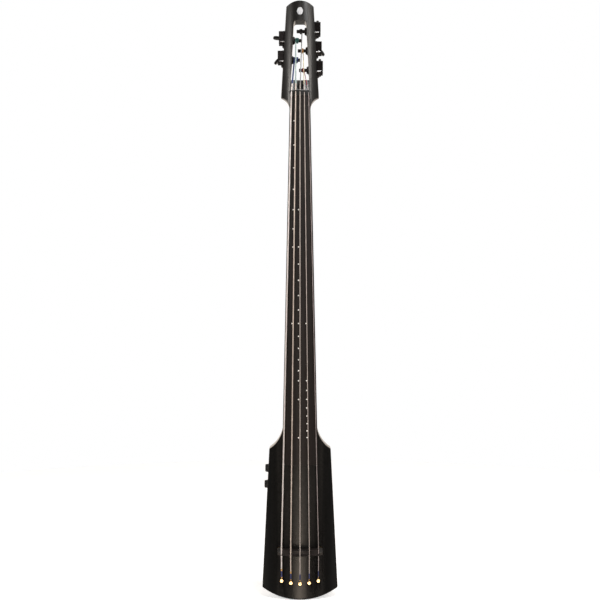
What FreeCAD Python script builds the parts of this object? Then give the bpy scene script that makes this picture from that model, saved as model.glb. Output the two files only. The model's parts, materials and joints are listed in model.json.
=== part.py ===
import FreeCAD, Part
import math
import operator
import os
from types import SimpleNamespace

import Sketcher

# Stick-type electric upright bass with five strings.
# Millimetres. +Z runs up the neck, -Y is the playing side, +X is the thin-string side.
# The origin is the mouth of the stand socket, at the outer face of the stand plate on the body's back.

V = FreeCAD.Vector
doc = FreeCAD.newDocument("electric_upright_bass")

# ---------------------------------------------------------------- driving dimensions

DIMENSIONS = {
    # strings and fingerboard
    "scale_length": 1060, "nut_z": 969, "saddle_z": -91,
    "nut_spacing": 10, "bridge_spacing": 21.6,
    "string_y_nut": -95, "string_y_bridge": -100.6, "bridge_crown_radius": 64,
    "board_radius": 68, "board_crown_y": -93, "board_end_z": 109.4,
    "board_half_nut": 23.7, "board_half_end": 42, "board_glue_y_nut": -82, "board_glue_y_end": -75,
    "nut_height_z": 11, "nut_crown_y": -95.4, "dot_radius": 1.5, "dot_depth": 1.5,
    # body
    "body_back_y": -3, "body_depth": 68, "body_front_radius": 130,
    "body_low_half": 89.3, "body_low_z": -187.5, "body_low_bulge": 21,
    "body_high_half": 72.5, "body_high_z": 143, "body_neck_half": 39.6, "body_top_z": 204,
    "body_corner_radius": 4, "body_shoulder_radius": 4, "body_back_round": 6, "body_front_round": 4,
    # neck and head
    "neck_back_nut": -55, "neck_back_heel": -45, "neck_heel_z": 206, "neck_end_z": 940,
    "heel_half": 30, "heel_low_z": 112, "heel_back_y": -30,
    "head_back_y": -42, "head_depth": 48, "head_front_radius": 50, "head_crown_y": -88,
    "head_neck_half": 24.3, "head_neck_z": 938, "head_low_half": 44.6, "head_low_z": 968.2,
    "head_high_half": 32, "head_high_z": 1178, "head_top_bulge": 12, "head_start_z": 925,
    "window_low_z": 1008, "window_low_half": 21.4, "window_high_z": 1144, "window_high_half": 14.4,
    "window_corner": 7, "ramp_start_z": 975, "ramp_end_y": -71.5,
    "volute_radius": 60, "volute_rise": 6,
    "rod_channel_width": 6.6, "rod_radius": 3, "rod_low_z": 130, "rod_high_z": 985,
    "rod_below_glue": 6, "rod_end_gap": 0.5, "rod_access_half": 6.5,
    "rod_nut_radius": 5, "rod_nut_length": 14,
    "inlay_z": 1165.5, "inlay_half_height": 9, "inlay_half_width": 7, "inlay_thickness": 0.7,
    # tuners
    "post_y": -58, "post_radius": 4, "post_stub_radius": 3.5, "running_gap": 0.05,
    "post_z_upper_right": 1124.4, "post_z_upper_left": 1103, "post_z_middle_right": 1079,
    "post_z_lower_left": 1057.2, "post_z_lower_right": 1033.2,
    "bushing_radius": 6, "bushing_flange": 10.3, "bushing_nose": 7.5, "bushing_proud": 5.2,
    "housing_reach": 12.4, "plate_thickness": 3, "cover_thickness": 1.7, "seat_rise": 17,
    "housing_low": 9.3, "housing_high": 20.8, "housing_front_y": -69, "housing_back_y": -48,
    "housing_corner": 3.5, "base_front_y": -68, "base_corner": 4,
    "foot_reach": 4.5, "foot_low": 17, "foot_front_y": -67, "foot_back_y": -49, "foot_corner": 1.5,
    "lip_front_y": -50, "lip_back_y": -46.5, "lip_corner": 1.2,
    "groove_low": -5.4, "groove_high": -3, "groove_depth": 1.3,
    "foot_screw_front_y": -62, "foot_screw_back_y": -54, "foot_screw_drop": 13,
    "foot_screw_depth": 11, "foot_screw_head": 1.6, "foot_screw_slot_half": 0.4,
    "gear_outer": 8.1, "gear_root": 6.7, "gear_width": 6, "gear_teeth": 20, "gear_room": 0.5,
    "worm_out": 7.5, "worm_rise": 12.1, "worm_radius": 3.9, "worm_root": 2.9,
    "worm_front_y": -66.8, "worm_length": 16.5,
    "worm_collars": 8, "worm_pitch": 2, "worm_collar_width": 1.2, "worm_collar_inset": 0.8,
    "key_shaft_radius": 2.5, "key_shaft_y": -50.3, "key_shaft_grip": 3,
    "key_half_width": 21, "key_depth": 19, "key_thickness": 6.5, "key_front_y": -39,
    "key_lobe": 8.5, "key_waist_radius": 70,
    "key_hub_radius": 4.5, "key_hub_length": 6, "key_hub_gap": 1.5, "key_hub_bore": 4.5,
    # bridge
    "bridge_half": 45, "bridge_high_z": -87, "bridge_thickness": 19,
    "bridge_low_bulge": 5, "bridge_crest": 7, "bridge_crown_y": -99.6,
    "bridge_clearance": 4, "bridge_foot_half": 41.5,
    "bridge_tab_half": 53, "bridge_tab_low_y": -70.3, "bridge_tab_thickness": 5,
    "bridge_screw_x": 47.5, "bridge_screw_radius": 3, "bridge_screw_collar": 5, "bridge_screw_head": 5.5,
    "bridge_screw_end_y": -44, "insert_radius": 5.5, "insert_end_y": -40,
    "piezo_half": 28, "piezo_front_y": -80, "piezo_back_y": -77.5, "piezo_half_width": 2,
    # ball ends
    "ball_radius": 4.7, "ball_length": 6.5, "ball_y": -68, "ball_hole_radius": 1.7,
    "keyhole_length": 18.5, "keyhole_gap": 0.5, "keyhole_room": 25, "ball_backing": 4,
    # controls
    "volume_z": 94.3, "tone_z": 56.4, "knob_y": -27, "knob_radius": 9.2, "knob_skirt_radius": 9.6,
    "knob_length": 7.4, "knob_gap": 0.6, "knob_flute_radius": 0.8, "knob_flutes": 24,
    "knob_hollow_radius": 7.2, "knob_hollow_depth": 3, "knob_skirt_height": 2.6,
    "pot_radius": 8, "pot_length": 9, "pot_bushing_radius": 3.5, "pot_shaft_radius": 3,
    "pot_seat_radius": 12.5, "pot_nut_radius": 5.6, "pot_nut_height": 2, "lug_pitch": 4,
    "lug_half_width": 1, "lug_thickness": 0.6,
    # electrics and back hardware
    "cavity_inner_x": -28, "cavity_outer_x": -67, "cavity_low_z": 20, "cavity_high_z": 110,
    "cavity_floor_y": -40, "cover_lip": 6, "cover_depth": 2,
    "cover_corner": 8, "cover_gap": 0.2, "cover_screw_in_x": 8, "cover_screw_in_z": 3.4,
    "jack_x": -46, "jack_z": 32, "jack_bore_radius": 3.2, "jack_sleeve_radius": 4.7,
    "jack_case_radius": 7, "jack_case_length": 16, "jack_ring_radius": 8, "jack_ring_height": 1.8,
    "stand_plate_half_x": 20, "stand_plate_half_z": 38,
    "stand_plate_thickness": 3, "socket_radius": 3.4, "socket_length": 25, "socket_boss_radius": 9,
    "bolt_radius": 3, "bolt_head_radius": 6, "bolt_x": 16, "bolt_low_z": 135, "bolt_high_z": 180,
    "screw_radius": 1.5, "screw_head_radius": 3, "screw_length": 11,
    "plate_screw_radius": 2.2, "plate_screw_head": 4.4, "plate_screw_length": 26,
    "plate_screw_x": 13, "plate_screw_z": 30, "plate_corner": 8,
}

OPERATIONS = {"+": operator.add, "-": operator.sub, "*": operator.mul, "/": operator.truediv}


class Size:
    """A length together with the spreadsheet expression that gives it."""

    def __init__(self, text, value):
        self.text = text
        self.value = value

    def __add__(self, other):
        return combine(self, "+", other)

    def __radd__(self, other):
        return combine(other, "+", self)

    def __sub__(self, other):
        return combine(self, "-", other)

    def __rsub__(self, other):
        return combine(other, "-", self)

    def __mul__(self, other):
        return combine(self, "*", other)

    def __rmul__(self, other):
        return combine(other, "*", self)

    def __truediv__(self, other):
        return combine(self, "/", other)

    def __neg__(self):
        return combine(0, "-", self)


def size(thing):
    return thing if isinstance(thing, Size) else Size(repr(float(thing)), float(thing))


def combine(left, sign, right):
    left = size(left)
    right = size(right)
    value = OPERATIONS[sign](left.value, right.value)
    return Size(f"({left.text} {sign} {right.text})", value)


def square_root(thing):
    return Size(f"sqrt({thing.text})", math.sqrt(thing.value))


def arc_drop(radius, half):
    """How far an arc of this radius falls away at half a chord from its crown."""
    return radius - square_root(radius * radius - half * half)


def bulge_radius(half, bulge):
    return (half * half + bulge * bulge) / (2 * bulge)


def blend(start, end, share):
    return start + (end - start) * share


sheet = doc.addObject("Spreadsheet::Sheet", "dims")
for row, (alias, number) in enumerate(DIMENSIONS.items(), start=1):
    sheet.set(f"A{row}", alias)
    sheet.set(f"B{row}", str(number))
    sheet.setAlias(f"B{row}", alias)
doc.recompute()
d = SimpleNamespace(**{alias: Size("dims." + alias, float(sheet.get(alias))) for alias in DIMENSIONS})

# ---------------------------------------------------------------- building tools

TURNS = {
    "Z": FreeCAD.Rotation(),
    "-Z": FreeCAD.Rotation(V(1, 0, 0), 180),
    "X": FreeCAD.Rotation(V(0, 1, 0), 90),
    "-X": FreeCAD.Rotation(V(0, 1, 0), -90),
    "Y": FreeCAD.Rotation(V(1, 0, 0), -90),
    "-Y": FreeCAD.Rotation(V(1, 0, 0), 90),
}
PARTS = {}


def bind(thing, path, length):
    thing.setExpression(path, size(length).text)


def put(thing, start, axis="Z"):
    """Stand a feature's own Z along a row axis, with its base point at start."""
    thing.Placement = FreeCAD.Placement(V(0, 0, 0), TURNS[axis])
    for letter, length in zip("xyz", start):
        bind(thing, "Placement.Base." + letter, length)
    return thing


def primitive(kind, sizes, start, axis="Z"):
    thing = doc.addObject("Part::" + kind, kind.lower())
    for path, length in sizes.items():
        bind(thing, path, length)
    return put(thing, start, axis)


def box(low, high):
    spans = [size(b) - a for a, b in zip(low, high)]
    return primitive("Box", dict(zip(("Length", "Width", "Height"), spans)), low)


def rod(radius, length, start, axis):
    return primitive("Cylinder", {"Radius": radius, "Height": length}, start, axis)


def taper(base_radius, end_radius, length, start, axis):
    sizes = {"Radius1": base_radius, "Radius2": end_radius, "Height": length}
    return primitive("Cone", sizes, start, axis)


def group(*pieces):
    thing = doc.addObject("Part::Compound", "set")
    thing.Links = list(pieces)
    return thing


def fuse(*pieces):
    thing = doc.addObject("Part::MultiFuse", "joined")
    thing.Shapes = list(pieces)
    thing.Refine = True
    return thing


def common(one, other):
    thing = doc.addObject("Part::Common", "shared")
    thing.Base = one
    thing.Tool = other
    return thing


def cut(base, *tools):
    thing = doc.addObject("Part::Cut", "trimmed")
    thing.Base = base
    thing.Tool = tools[0] if len(tools) == 1 else fuse(*tools)
    return thing


def fixed_shape(name, shape):
    """A piece whose shape none of the parametric features makes directly."""
    thing = doc.addObject("Part::Feature", name)
    thing.Shape = shape
    thing.Placement = FreeCAD.Placement()
    return thing


def keep(node, thing):
    """Hand a finished sub-part over under its own name."""
    thing.Label = node
    PARTS[node] = thing
    return thing


def new_body(name):
    return doc.addObject("PartDesign::Body", name)


def sketch(body, role, offset=0):
    flat = body.newObject("Sketcher::SketchObject", "outline")
    origin_plane = next(f for f in body.Origin.OriginFeatures if f.Role == role)
    flat.AttachmentSupport = [(origin_plane, "")]
    flat.MapMode = "FlatFace"
    bind(flat, "AttachmentOffset.Base.z", offset)
    return flat


def arc_middle(a, b, radius, side):
    chord = b - a
    half = chord.Length / 2
    left = V(-chord.y, chord.x, 0).normalize()
    return (a + b) * 0.5 + left * (side * (radius - math.sqrt(radius * radius - half * half)))


def trace(flat, corners, arcs=None):
    """Closed outline through the corners. arcs maps an edge's number to its radius and to the
    side it bulges to, 1 for the left of travel and -1 for the right."""
    arcs = arcs or {}
    points = [V(size(u).value, size(v).value, 0) for u, v in corners]
    count = len(points)
    for i, a in enumerate(points):
        b = points[(i + 1) % count]
        if i in arcs:
            radius, side = arcs[i]
            flat.addGeometry(Part.Arc(a, arc_middle(a, b, size(radius).value, side), b), False)
        else:
            flat.addGeometry(Part.LineSegment(a, b), False)
    starts = [1 if flat.getPoint(i, 1).distanceToPoint(p) < 1e-6 else 2 for i, p in enumerate(points)]
    for i in range(count):
        j = (i + 1) % count
        flat.addConstraint(Sketcher.Constraint("Coincident", i, 3 - starts[i], j, starts[j]))
    for i, (u, v) in enumerate(corners):
        for kind, length in (("DistanceX", u), ("DistanceY", v)):
            length = size(length)
            index = flat.addConstraint(Sketcher.Constraint(kind, -1, 1, i, starts[i], length.value))
            bind(flat, f"Constraints[{index}]", length)
    for i, (radius, side) in arcs.items():
        index = flat.addConstraint(Sketcher.Constraint("Radius", i, size(radius).value))
        bind(flat, f"Constraints[{index}]", radius)
    return flat


def rounded(low, high, radius):
    """Corners and arcs of an upright rectangle with rounded corners, for trace."""
    (u0, v0), (u1, v1) = low, high
    r = size(radius)
    corners = [
        (u0 + r, v0), (u1 - r, v0), (u1, v0 + r), (u1, v1 - r),
        (u1 - r, v1), (u0 + r, v1), (u0, v1 - r), (u0, v0 + r),
    ]
    return corners, {edge: (radius, -1) for edge in (1, 3, 5, 7)}


def pad(body, flat, length, symmetric=False):
    feature = body.newObject("PartDesign::Pad", "pad")
    feature.Profile = flat
    if symmetric:
        feature.SideType = "Symmetric"
    bind(feature, "Length", length)
    return feature


def pocket(body, flat, length):
    """Cut a sketch through on both sides of its plane, and prove that it took material away."""
    doc.recompute()
    before = body.Shape.Volume
    feature = body.newObject("PartDesign::Pocket", "pocket")
    feature.Profile = flat
    feature.SideType = "Symmetric"
    bind(feature, "Length", length)
    doc.recompute()
    if body.Shape.Volume >= before:
        raise RuntimeError(body.Label + ": a pocket cut nothing")
    return feature


def round_edges(body, radius, wanted):
    """Fillet the edges of the body's last shape for which wanted(edge) holds."""
    doc.recompute()
    base = body.Tip
    names = [f"Edge{n}" for n, edge in enumerate(base.Shape.Edges, start=1) if wanted(edge)]
    feature = body.newObject("PartDesign::Fillet", "fillet")
    feature.Base = (base, names)
    bind(feature, "Radius", radius)
    return feature


def runs_along(edge, axis):
    ends = [vertex.Point for vertex in edge.Vertexes]
    return len(ends) == 2 and abs((ends[1] - ends[0]).normalize().dot(axis)) > 0.999


def slab(role, corners, arcs, start, length):
    """An outline on one of the origin planes, padded from start along the plane's normal."""
    body = new_body("slab")
    pad(body, trace(sketch(body, role, start), corners, arcs), length)
    return body


def half_width_at(z, low, high):
    """Half-width of a straight-sided taper given as (z, half-width) at both ends."""
    return blend(low[1], high[1], (z - low[0]) / (high[0] - low[0]))


def front_cylinder(radius, crown_y, low_z, high_z):
    return rod(radius, size(high_z) - low_z, (0, crown_y + radius, low_z), "Z")


# ---------------------------------------------------------------- strings: places on the instrument

STRING_DIAMETERS = (3.3, 2.7, 2.2, 1.8, 1.4)
STRING_COUNT = len(STRING_DIAMETERS)
STEPS = [number - 2 for number in range(STRING_COUNT)]
# Each tuner: string number, side of the head, post height, post's inner end and where the string wraps.
TUNERS = (
    (1, -1, d.post_z_lower_left, 0.2, -9.3, 46),
    (2, -1, d.post_z_upper_left, 3.2, -7.0, -5),
    (3, 1, d.post_z_upper_right, -8.0, 2.3, 90),
    (4, 1, d.post_z_middle_right, -5.3, 5.3, 53),
    (5, 1, d.post_z_lower_right, -2.3, 7.4, 90),
)
WRAP_TURNS = 2.4
WRAP_GAP = 0.1
BALL_X = (-43.1, -21.5, 0, 21.5, 43.1)
BALL_Z = (-165.3, -168.9, -170.6, -168.9, -165.3)


def string_at_nut(step):
    x = step * d.nut_spacing.value
    return V(x, d.string_y_nut.value + arc_drop(d.board_radius, size(x)).value, d.nut_z.value + 5)


def string_at_bridge(step):
    x = step * d.bridge_spacing.value
    drop = arc_drop(d.bridge_crown_radius, size(x)).value
    return V(x, d.string_y_bridge.value + drop, d.saddle_z.value)


def ball_centre(index):
    drop = arc_drop(d.body_front_radius, size(BALL_X[index])).value
    return V(BALL_X[index], d.ball_y.value + drop, BALL_Z[index])


def wrap_meeting(nut_point, post_z, wrap_x, radius):
    """Where a string leaves its wraps: the tangent point on the playing side of the post."""
    across = nut_point.y - d.post_y.value
    along = nut_point.z - post_z
    distance = math.hypot(across, along)
    turn = math.atan2(along, across) - math.acos(radius / distance)
    other = math.atan2(along, across) + math.acos(radius / distance)
    angle = min((turn, other), key=math.cos)
    return V(wrap_x, d.post_y.value + radius * math.cos(angle), post_z + radius * math.sin(angle))


def straight(start, end, radius):
    return Part.makeCylinder(radius, (end - start).Length, start, end - start)


def chain(points, radius):
    """Straight runs with a ball at each inner corner, as one solid."""
    shape = straight(points[0], points[1], radius)
    for a, b in zip(points[1:], points[2:]):
        shape = shape.fuse([Part.makeSphere(radius, a), straight(a, b, radius)])
    return shape


def string_points(index):
    step = STEPS[index]
    tuner = TUNERS[index]
    radius = STRING_DIAMETERS[index] / 2
    wrap_radius = d.post_radius.value + WRAP_GAP + radius
    nut_point = string_at_nut(step)
    meeting = wrap_meeting(nut_point, tuner[2].value, tuner[4], wrap_radius)
    ball = ball_centre(index)
    end = V(ball.x, ball.y, ball.z + d.ball_radius.value - 1)
    return [meeting, nut_point, string_at_bridge(step), end]


def string_run(index, extra=0.0):
    """The string from its wraps to its ball end. extra thickens it, for cutting its grooves."""
    return chain(string_points(index), STRING_DIAMETERS[index] / 2 + extra)


# ---------------------------------------------------------------- fingerboard, nut and dots

board_length = d.nut_z - d.board_end_z
glue_slope = (d.board_glue_y_nut - d.board_glue_y_end) / board_length


def board_half(z):
    return half_width_at(z, (d.board_end_z, d.board_half_end), (d.nut_z, d.board_half_nut))


def glue_y(z):
    return d.board_glue_y_end + glue_slope * (z - d.board_end_z)


def board_section(body, z):
    half = board_half(z)
    edge_y = d.board_crown_y + arc_drop(d.board_radius, half)
    corners = [(-half, glue_y(z)), (-half, edge_y), (half, edge_y), (half, glue_y(z))]
    return trace(sketch(body, "XY_Plane", z), corners, {1: (d.board_radius, -1)})


def make_board():
    body = new_body("board_blank")
    loft = body.newObject("PartDesign::AdditiveLoft", "loft")
    lower = board_section(body, d.board_end_z)
    upper = board_section(body, d.nut_z)
    loft.Profile = lower
    loft.Sections = [upper]
    loft.Ruled = True
    return body


def make_dots():
    """White dots between the strings, at the semitone places of a fretless board."""
    columns = (
        (1, -2.6, (1, 2, 3, 4, 5, 6, 7, 12)),
        (2, -3.4, (5, 7, 8, 9, 10, 11, 12, 13, 14, 15, 16, 17, 19, 24)),
        (3, -2.1, (12, 17, 18, 19, 20, 21, 22, 23, 24)),
    )
    plugs = []
    for index, shift, semitones in columns:
        for semitone in semitones:
            distance = 1 - 2 ** (-semitone / 12)
            z = d.nut_z - d.scale_length * distance
            spacing = blend(d.nut_spacing, d.bridge_spacing, distance)
            x = spacing * STEPS[index] + shift
            bottom = d.board_crown_y + arc_drop(d.board_radius, x) + d.dot_depth
            plugs.append(rod(d.dot_radius, 6, (x, bottom, z), "-Y"))
    return group(*plugs)


board_blank = make_board()
dots = keep("position_dots", common(make_dots(), board_blank))
keep("fingerboard", cut(board_blank, dots))

nut_top_z = d.nut_z + d.nut_height_z
nut_low = (-d.board_half_nut, d.nut_crown_y - 1, d.nut_z)
nut_high = (d.board_half_nut, d.board_glue_y_nut, nut_top_z)
nut_round = front_cylinder(d.board_radius, d.nut_crown_y, d.nut_z - 1, nut_top_z + 1)
nut_blank = common(box(nut_low, nut_high), nut_round)
nut_slots = fixed_shape("nut_slots", Part.makeCompound([string_run(i) for i in range(STRING_COUNT)]))
keep("nut", cut(nut_blank, nut_slots))

# ---------------------------------------------------------------- neck and head


def neck_section(body, z, back_y):
    half = board_half(z) - 0.1
    radius = bulge_radius(half, size(back_y) - glue_y(z))
    corners = [(-half, glue_y(z)), (half, glue_y(z))]
    return trace(sketch(body, "XY_Plane", z), corners, {1: (radius, -1)})


def make_neck_shaft():
    body = new_body("neck_shaft")
    loft = body.newObject("PartDesign::AdditiveLoft", "loft")
    lower = neck_section(body, d.neck_heel_z, d.neck_back_heel)
    upper = neck_section(body, d.neck_end_z, d.neck_back_nut)
    loft.Profile = lower
    loft.Sections = [upper]
    loft.Ruled = True
    return body


def make_heel():
    """Block under the board's lower end, wedge-shaped to follow the glue face."""
    corners = [
        (glue_y(d.heel_low_z), d.heel_low_z), (d.heel_back_y, d.heel_low_z),
        (d.heel_back_y, d.neck_heel_z), (glue_y(d.neck_heel_z), d.neck_heel_z),
    ]
    return slab("YZ_Plane", corners, None, -d.heel_half, 2 * d.heel_half)


def make_head():
    body = new_body("head_blank")
    scoop_rise = d.head_low_z - d.head_neck_z
    scoop_radius = bulge_radius(scoop_rise, d.head_low_half - d.head_neck_half)
    corners = [
        (-d.head_neck_half, d.head_start_z), (d.head_neck_half, d.head_start_z),
        (d.head_neck_half, d.head_neck_z), (d.head_low_half, d.head_low_z),
        (d.head_high_half, d.head_high_z), (-d.head_high_half, d.head_high_z),
        (-d.head_low_half, d.head_low_z), (-d.head_neck_half, d.head_neck_z),
    ]
    top_radius = bulge_radius(d.head_high_half, d.head_top_bulge)
    arcs = {2: (scoop_radius, 1), 4: (top_radius, -1), 6: (scoop_radius, 1)}
    outline = trace(sketch(body, "XZ_Plane", -d.head_back_y), corners, arcs)
    pad(body, outline, d.head_depth)
    back_join = d.head_low_z + d.volute_rise
    volute = [
        (d.head_back_y + 2, d.head_start_z - 5), (d.neck_back_nut - 0.2, d.head_start_z - 5),
        (d.neck_back_nut - 0.2, d.head_neck_z), (d.head_back_y, back_join), (d.head_back_y + 2, back_join),
    ]
    pocket(body, trace(sketch(body, "YZ_Plane"), volute, {2: (d.volute_radius, 1)}), 3 * d.head_low_half)
    edge = d.head_low_half + 3
    edge_y = d.head_crown_y + arc_drop(d.head_front_radius, edge)
    front_y = d.head_crown_y - 8
    crescent = [(-edge, front_y), (edge, front_y), (edge, edge_y), (-edge, edge_y)]
    pocket(body, trace(sketch(body, "XY_Plane", 1000), crescent, {2: (d.head_front_radius, 1)}), 900)
    return body


def window_cutter():
    r = d.window_corner
    side = (d.window_low_z, d.window_low_half), (d.window_high_z, d.window_high_half)
    half = half_width_at(d.window_high_z - r, *side)
    corners = [
        (-d.window_low_half, d.window_low_z), (d.window_low_half, d.window_low_z),
        (half, d.window_high_z - r), (half - r, d.window_high_z),
        (r - half, d.window_high_z), (-half, d.window_high_z - r),
    ]
    return slab("XZ_Plane", corners, {2: (r, -1), 4: (r, -1)}, 30, 80)


def ramp_cutter():
    """Sloping floor that lets the strings fall from the nut into the window."""
    corners = [
        (d.head_crown_y, d.ramp_start_z), (d.ramp_end_y, d.window_low_z),
        (d.head_crown_y - 12, d.window_low_z), (d.head_crown_y - 12, d.ramp_start_z),
    ]
    return slab("YZ_Plane", corners, None, -d.window_low_half, 2 * d.window_low_half)


glue_tilt = math.degrees(math.atan(-glue_slope.value))


def along_glue(thing, x, below, z):
    """Lay a feature along the glue face, a set depth under it."""
    thing.Placement = FreeCAD.Placement(V(0, 0, 0), FreeCAD.Rotation(V(1, 0, 0), glue_tilt))
    for letter, length in zip("xyz", (x, glue_y(z) + below, z)):
        bind(thing, "Placement.Base." + letter, length)
    return thing


rod_span = d.rod_high_z - d.rod_low_z
truss_rod = rod(d.rod_radius, rod_span, (0, 0, 0), "Z")
keep("truss_rod", along_glue(truss_rod, 0, d.rod_below_glue, d.rod_low_z))
rod_nut = doc.addObject("Part::Prism", "rod_nut_blank")
rod_nut.Polygon = 6
bind(rod_nut, "Circumradius", d.rod_nut_radius)
bind(rod_nut, "Height", d.rod_nut_length)
along_glue(rod_nut, 0, d.rod_below_glue, d.rod_high_z)
key_hole = along_glue(rod(2, 6, (0, 0, 0), "Z"), 0, d.rod_below_glue, d.rod_high_z + d.rod_nut_length - 5)
keep("truss_rod_nut", cut(rod_nut, key_hole))
rod_channel = box((0, 0, 0), (d.rod_channel_width, 10, rod_span + 2 * d.rod_end_gap))
along_glue(rod_channel, -d.rod_channel_width / 2, -1, d.rod_low_z - d.rod_end_gap)
rod_access = box(
    (-d.rod_access_half, d.head_crown_y - 8, d.rod_high_z - d.rod_end_gap),
    (d.rod_access_half, d.ramp_end_y + 1.5, d.window_low_z + 1),
)

inlay_plug = doc.addObject("Part::Ellipse", "inlay_outline")
bind(inlay_plug, "MajorRadius", d.inlay_half_height)
bind(inlay_plug, "MinorRadius", d.inlay_half_width)
inlay_plug.Placement = FreeCAD.Placement(
    V(0, d.head_crown_y.value - 2, d.inlay_z.value),
    FreeCAD.Rotation(V(0, 0, 1), V(1, 0, 0), V(0, 1, 0), "ZXY"),
)
inlay_solid = doc.addObject("Part::Extrusion", "inlay_solid")
inlay_solid.Base = inlay_plug
inlay_solid.Dir = V(0, 1, 0)
inlay_solid.Solid = True
bind(inlay_solid, "LengthFwd", 10)
inlay_span = (d.inlay_z - 20, d.inlay_z + 20)
inlay_face = front_cylinder(d.head_front_radius, d.head_crown_y, *inlay_span)
inlay_bed = front_cylinder(
    d.head_front_radius - d.inlay_thickness, d.head_crown_y + d.inlay_thickness, *inlay_span
)
head_inlay = keep("head_inlay", common(inlay_solid, cut(inlay_face, inlay_bed)))

# ---------------------------------------------------------------- tuners

neck_tools = []
bushings = []
covers = []
tuner_screws = []
screw_places = (d.foot_screw_front_y, d.foot_screw_back_y)


def side_box(side, near, far, low, high):
    """Box between two distances from the centre plane, on one side of it."""
    first, last = (near, far) if side > 0 else (-size(far), -size(near))
    return box((first, low[0], low[1]), (last, high[0], high[1]))


def side_rod(side, radius, near, length, y, z):
    return rod(radius, length, (side * size(near), y, z), "X" if side > 0 else "-X")


def side_slab(side, near, far, corners, arcs):
    start = near if side > 0 else -size(far)
    return slab("YZ_Plane", corners, arcs, start, size(far) - near)


def gear_shape(outer, root, width, teeth, bore):
    """Straight-toothed wheel on Z, its teeth as narrow trapezoids."""
    points = []
    for tooth in range(teeth):
        for share, radius in ((0.0, root), (0.3, root), (0.45, outer), (0.75, outer), (0.9, root)):
            angle = 2 * math.pi * (tooth + share) / teeth
            points.append(V(radius * math.cos(angle), radius * math.sin(angle), 0))
    wheel = Part.Face(Part.makePolygon(points + points[:1])).extrude(V(0, 0, width))
    return wheel.cut(Part.makeCylinder(bore, width))


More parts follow.
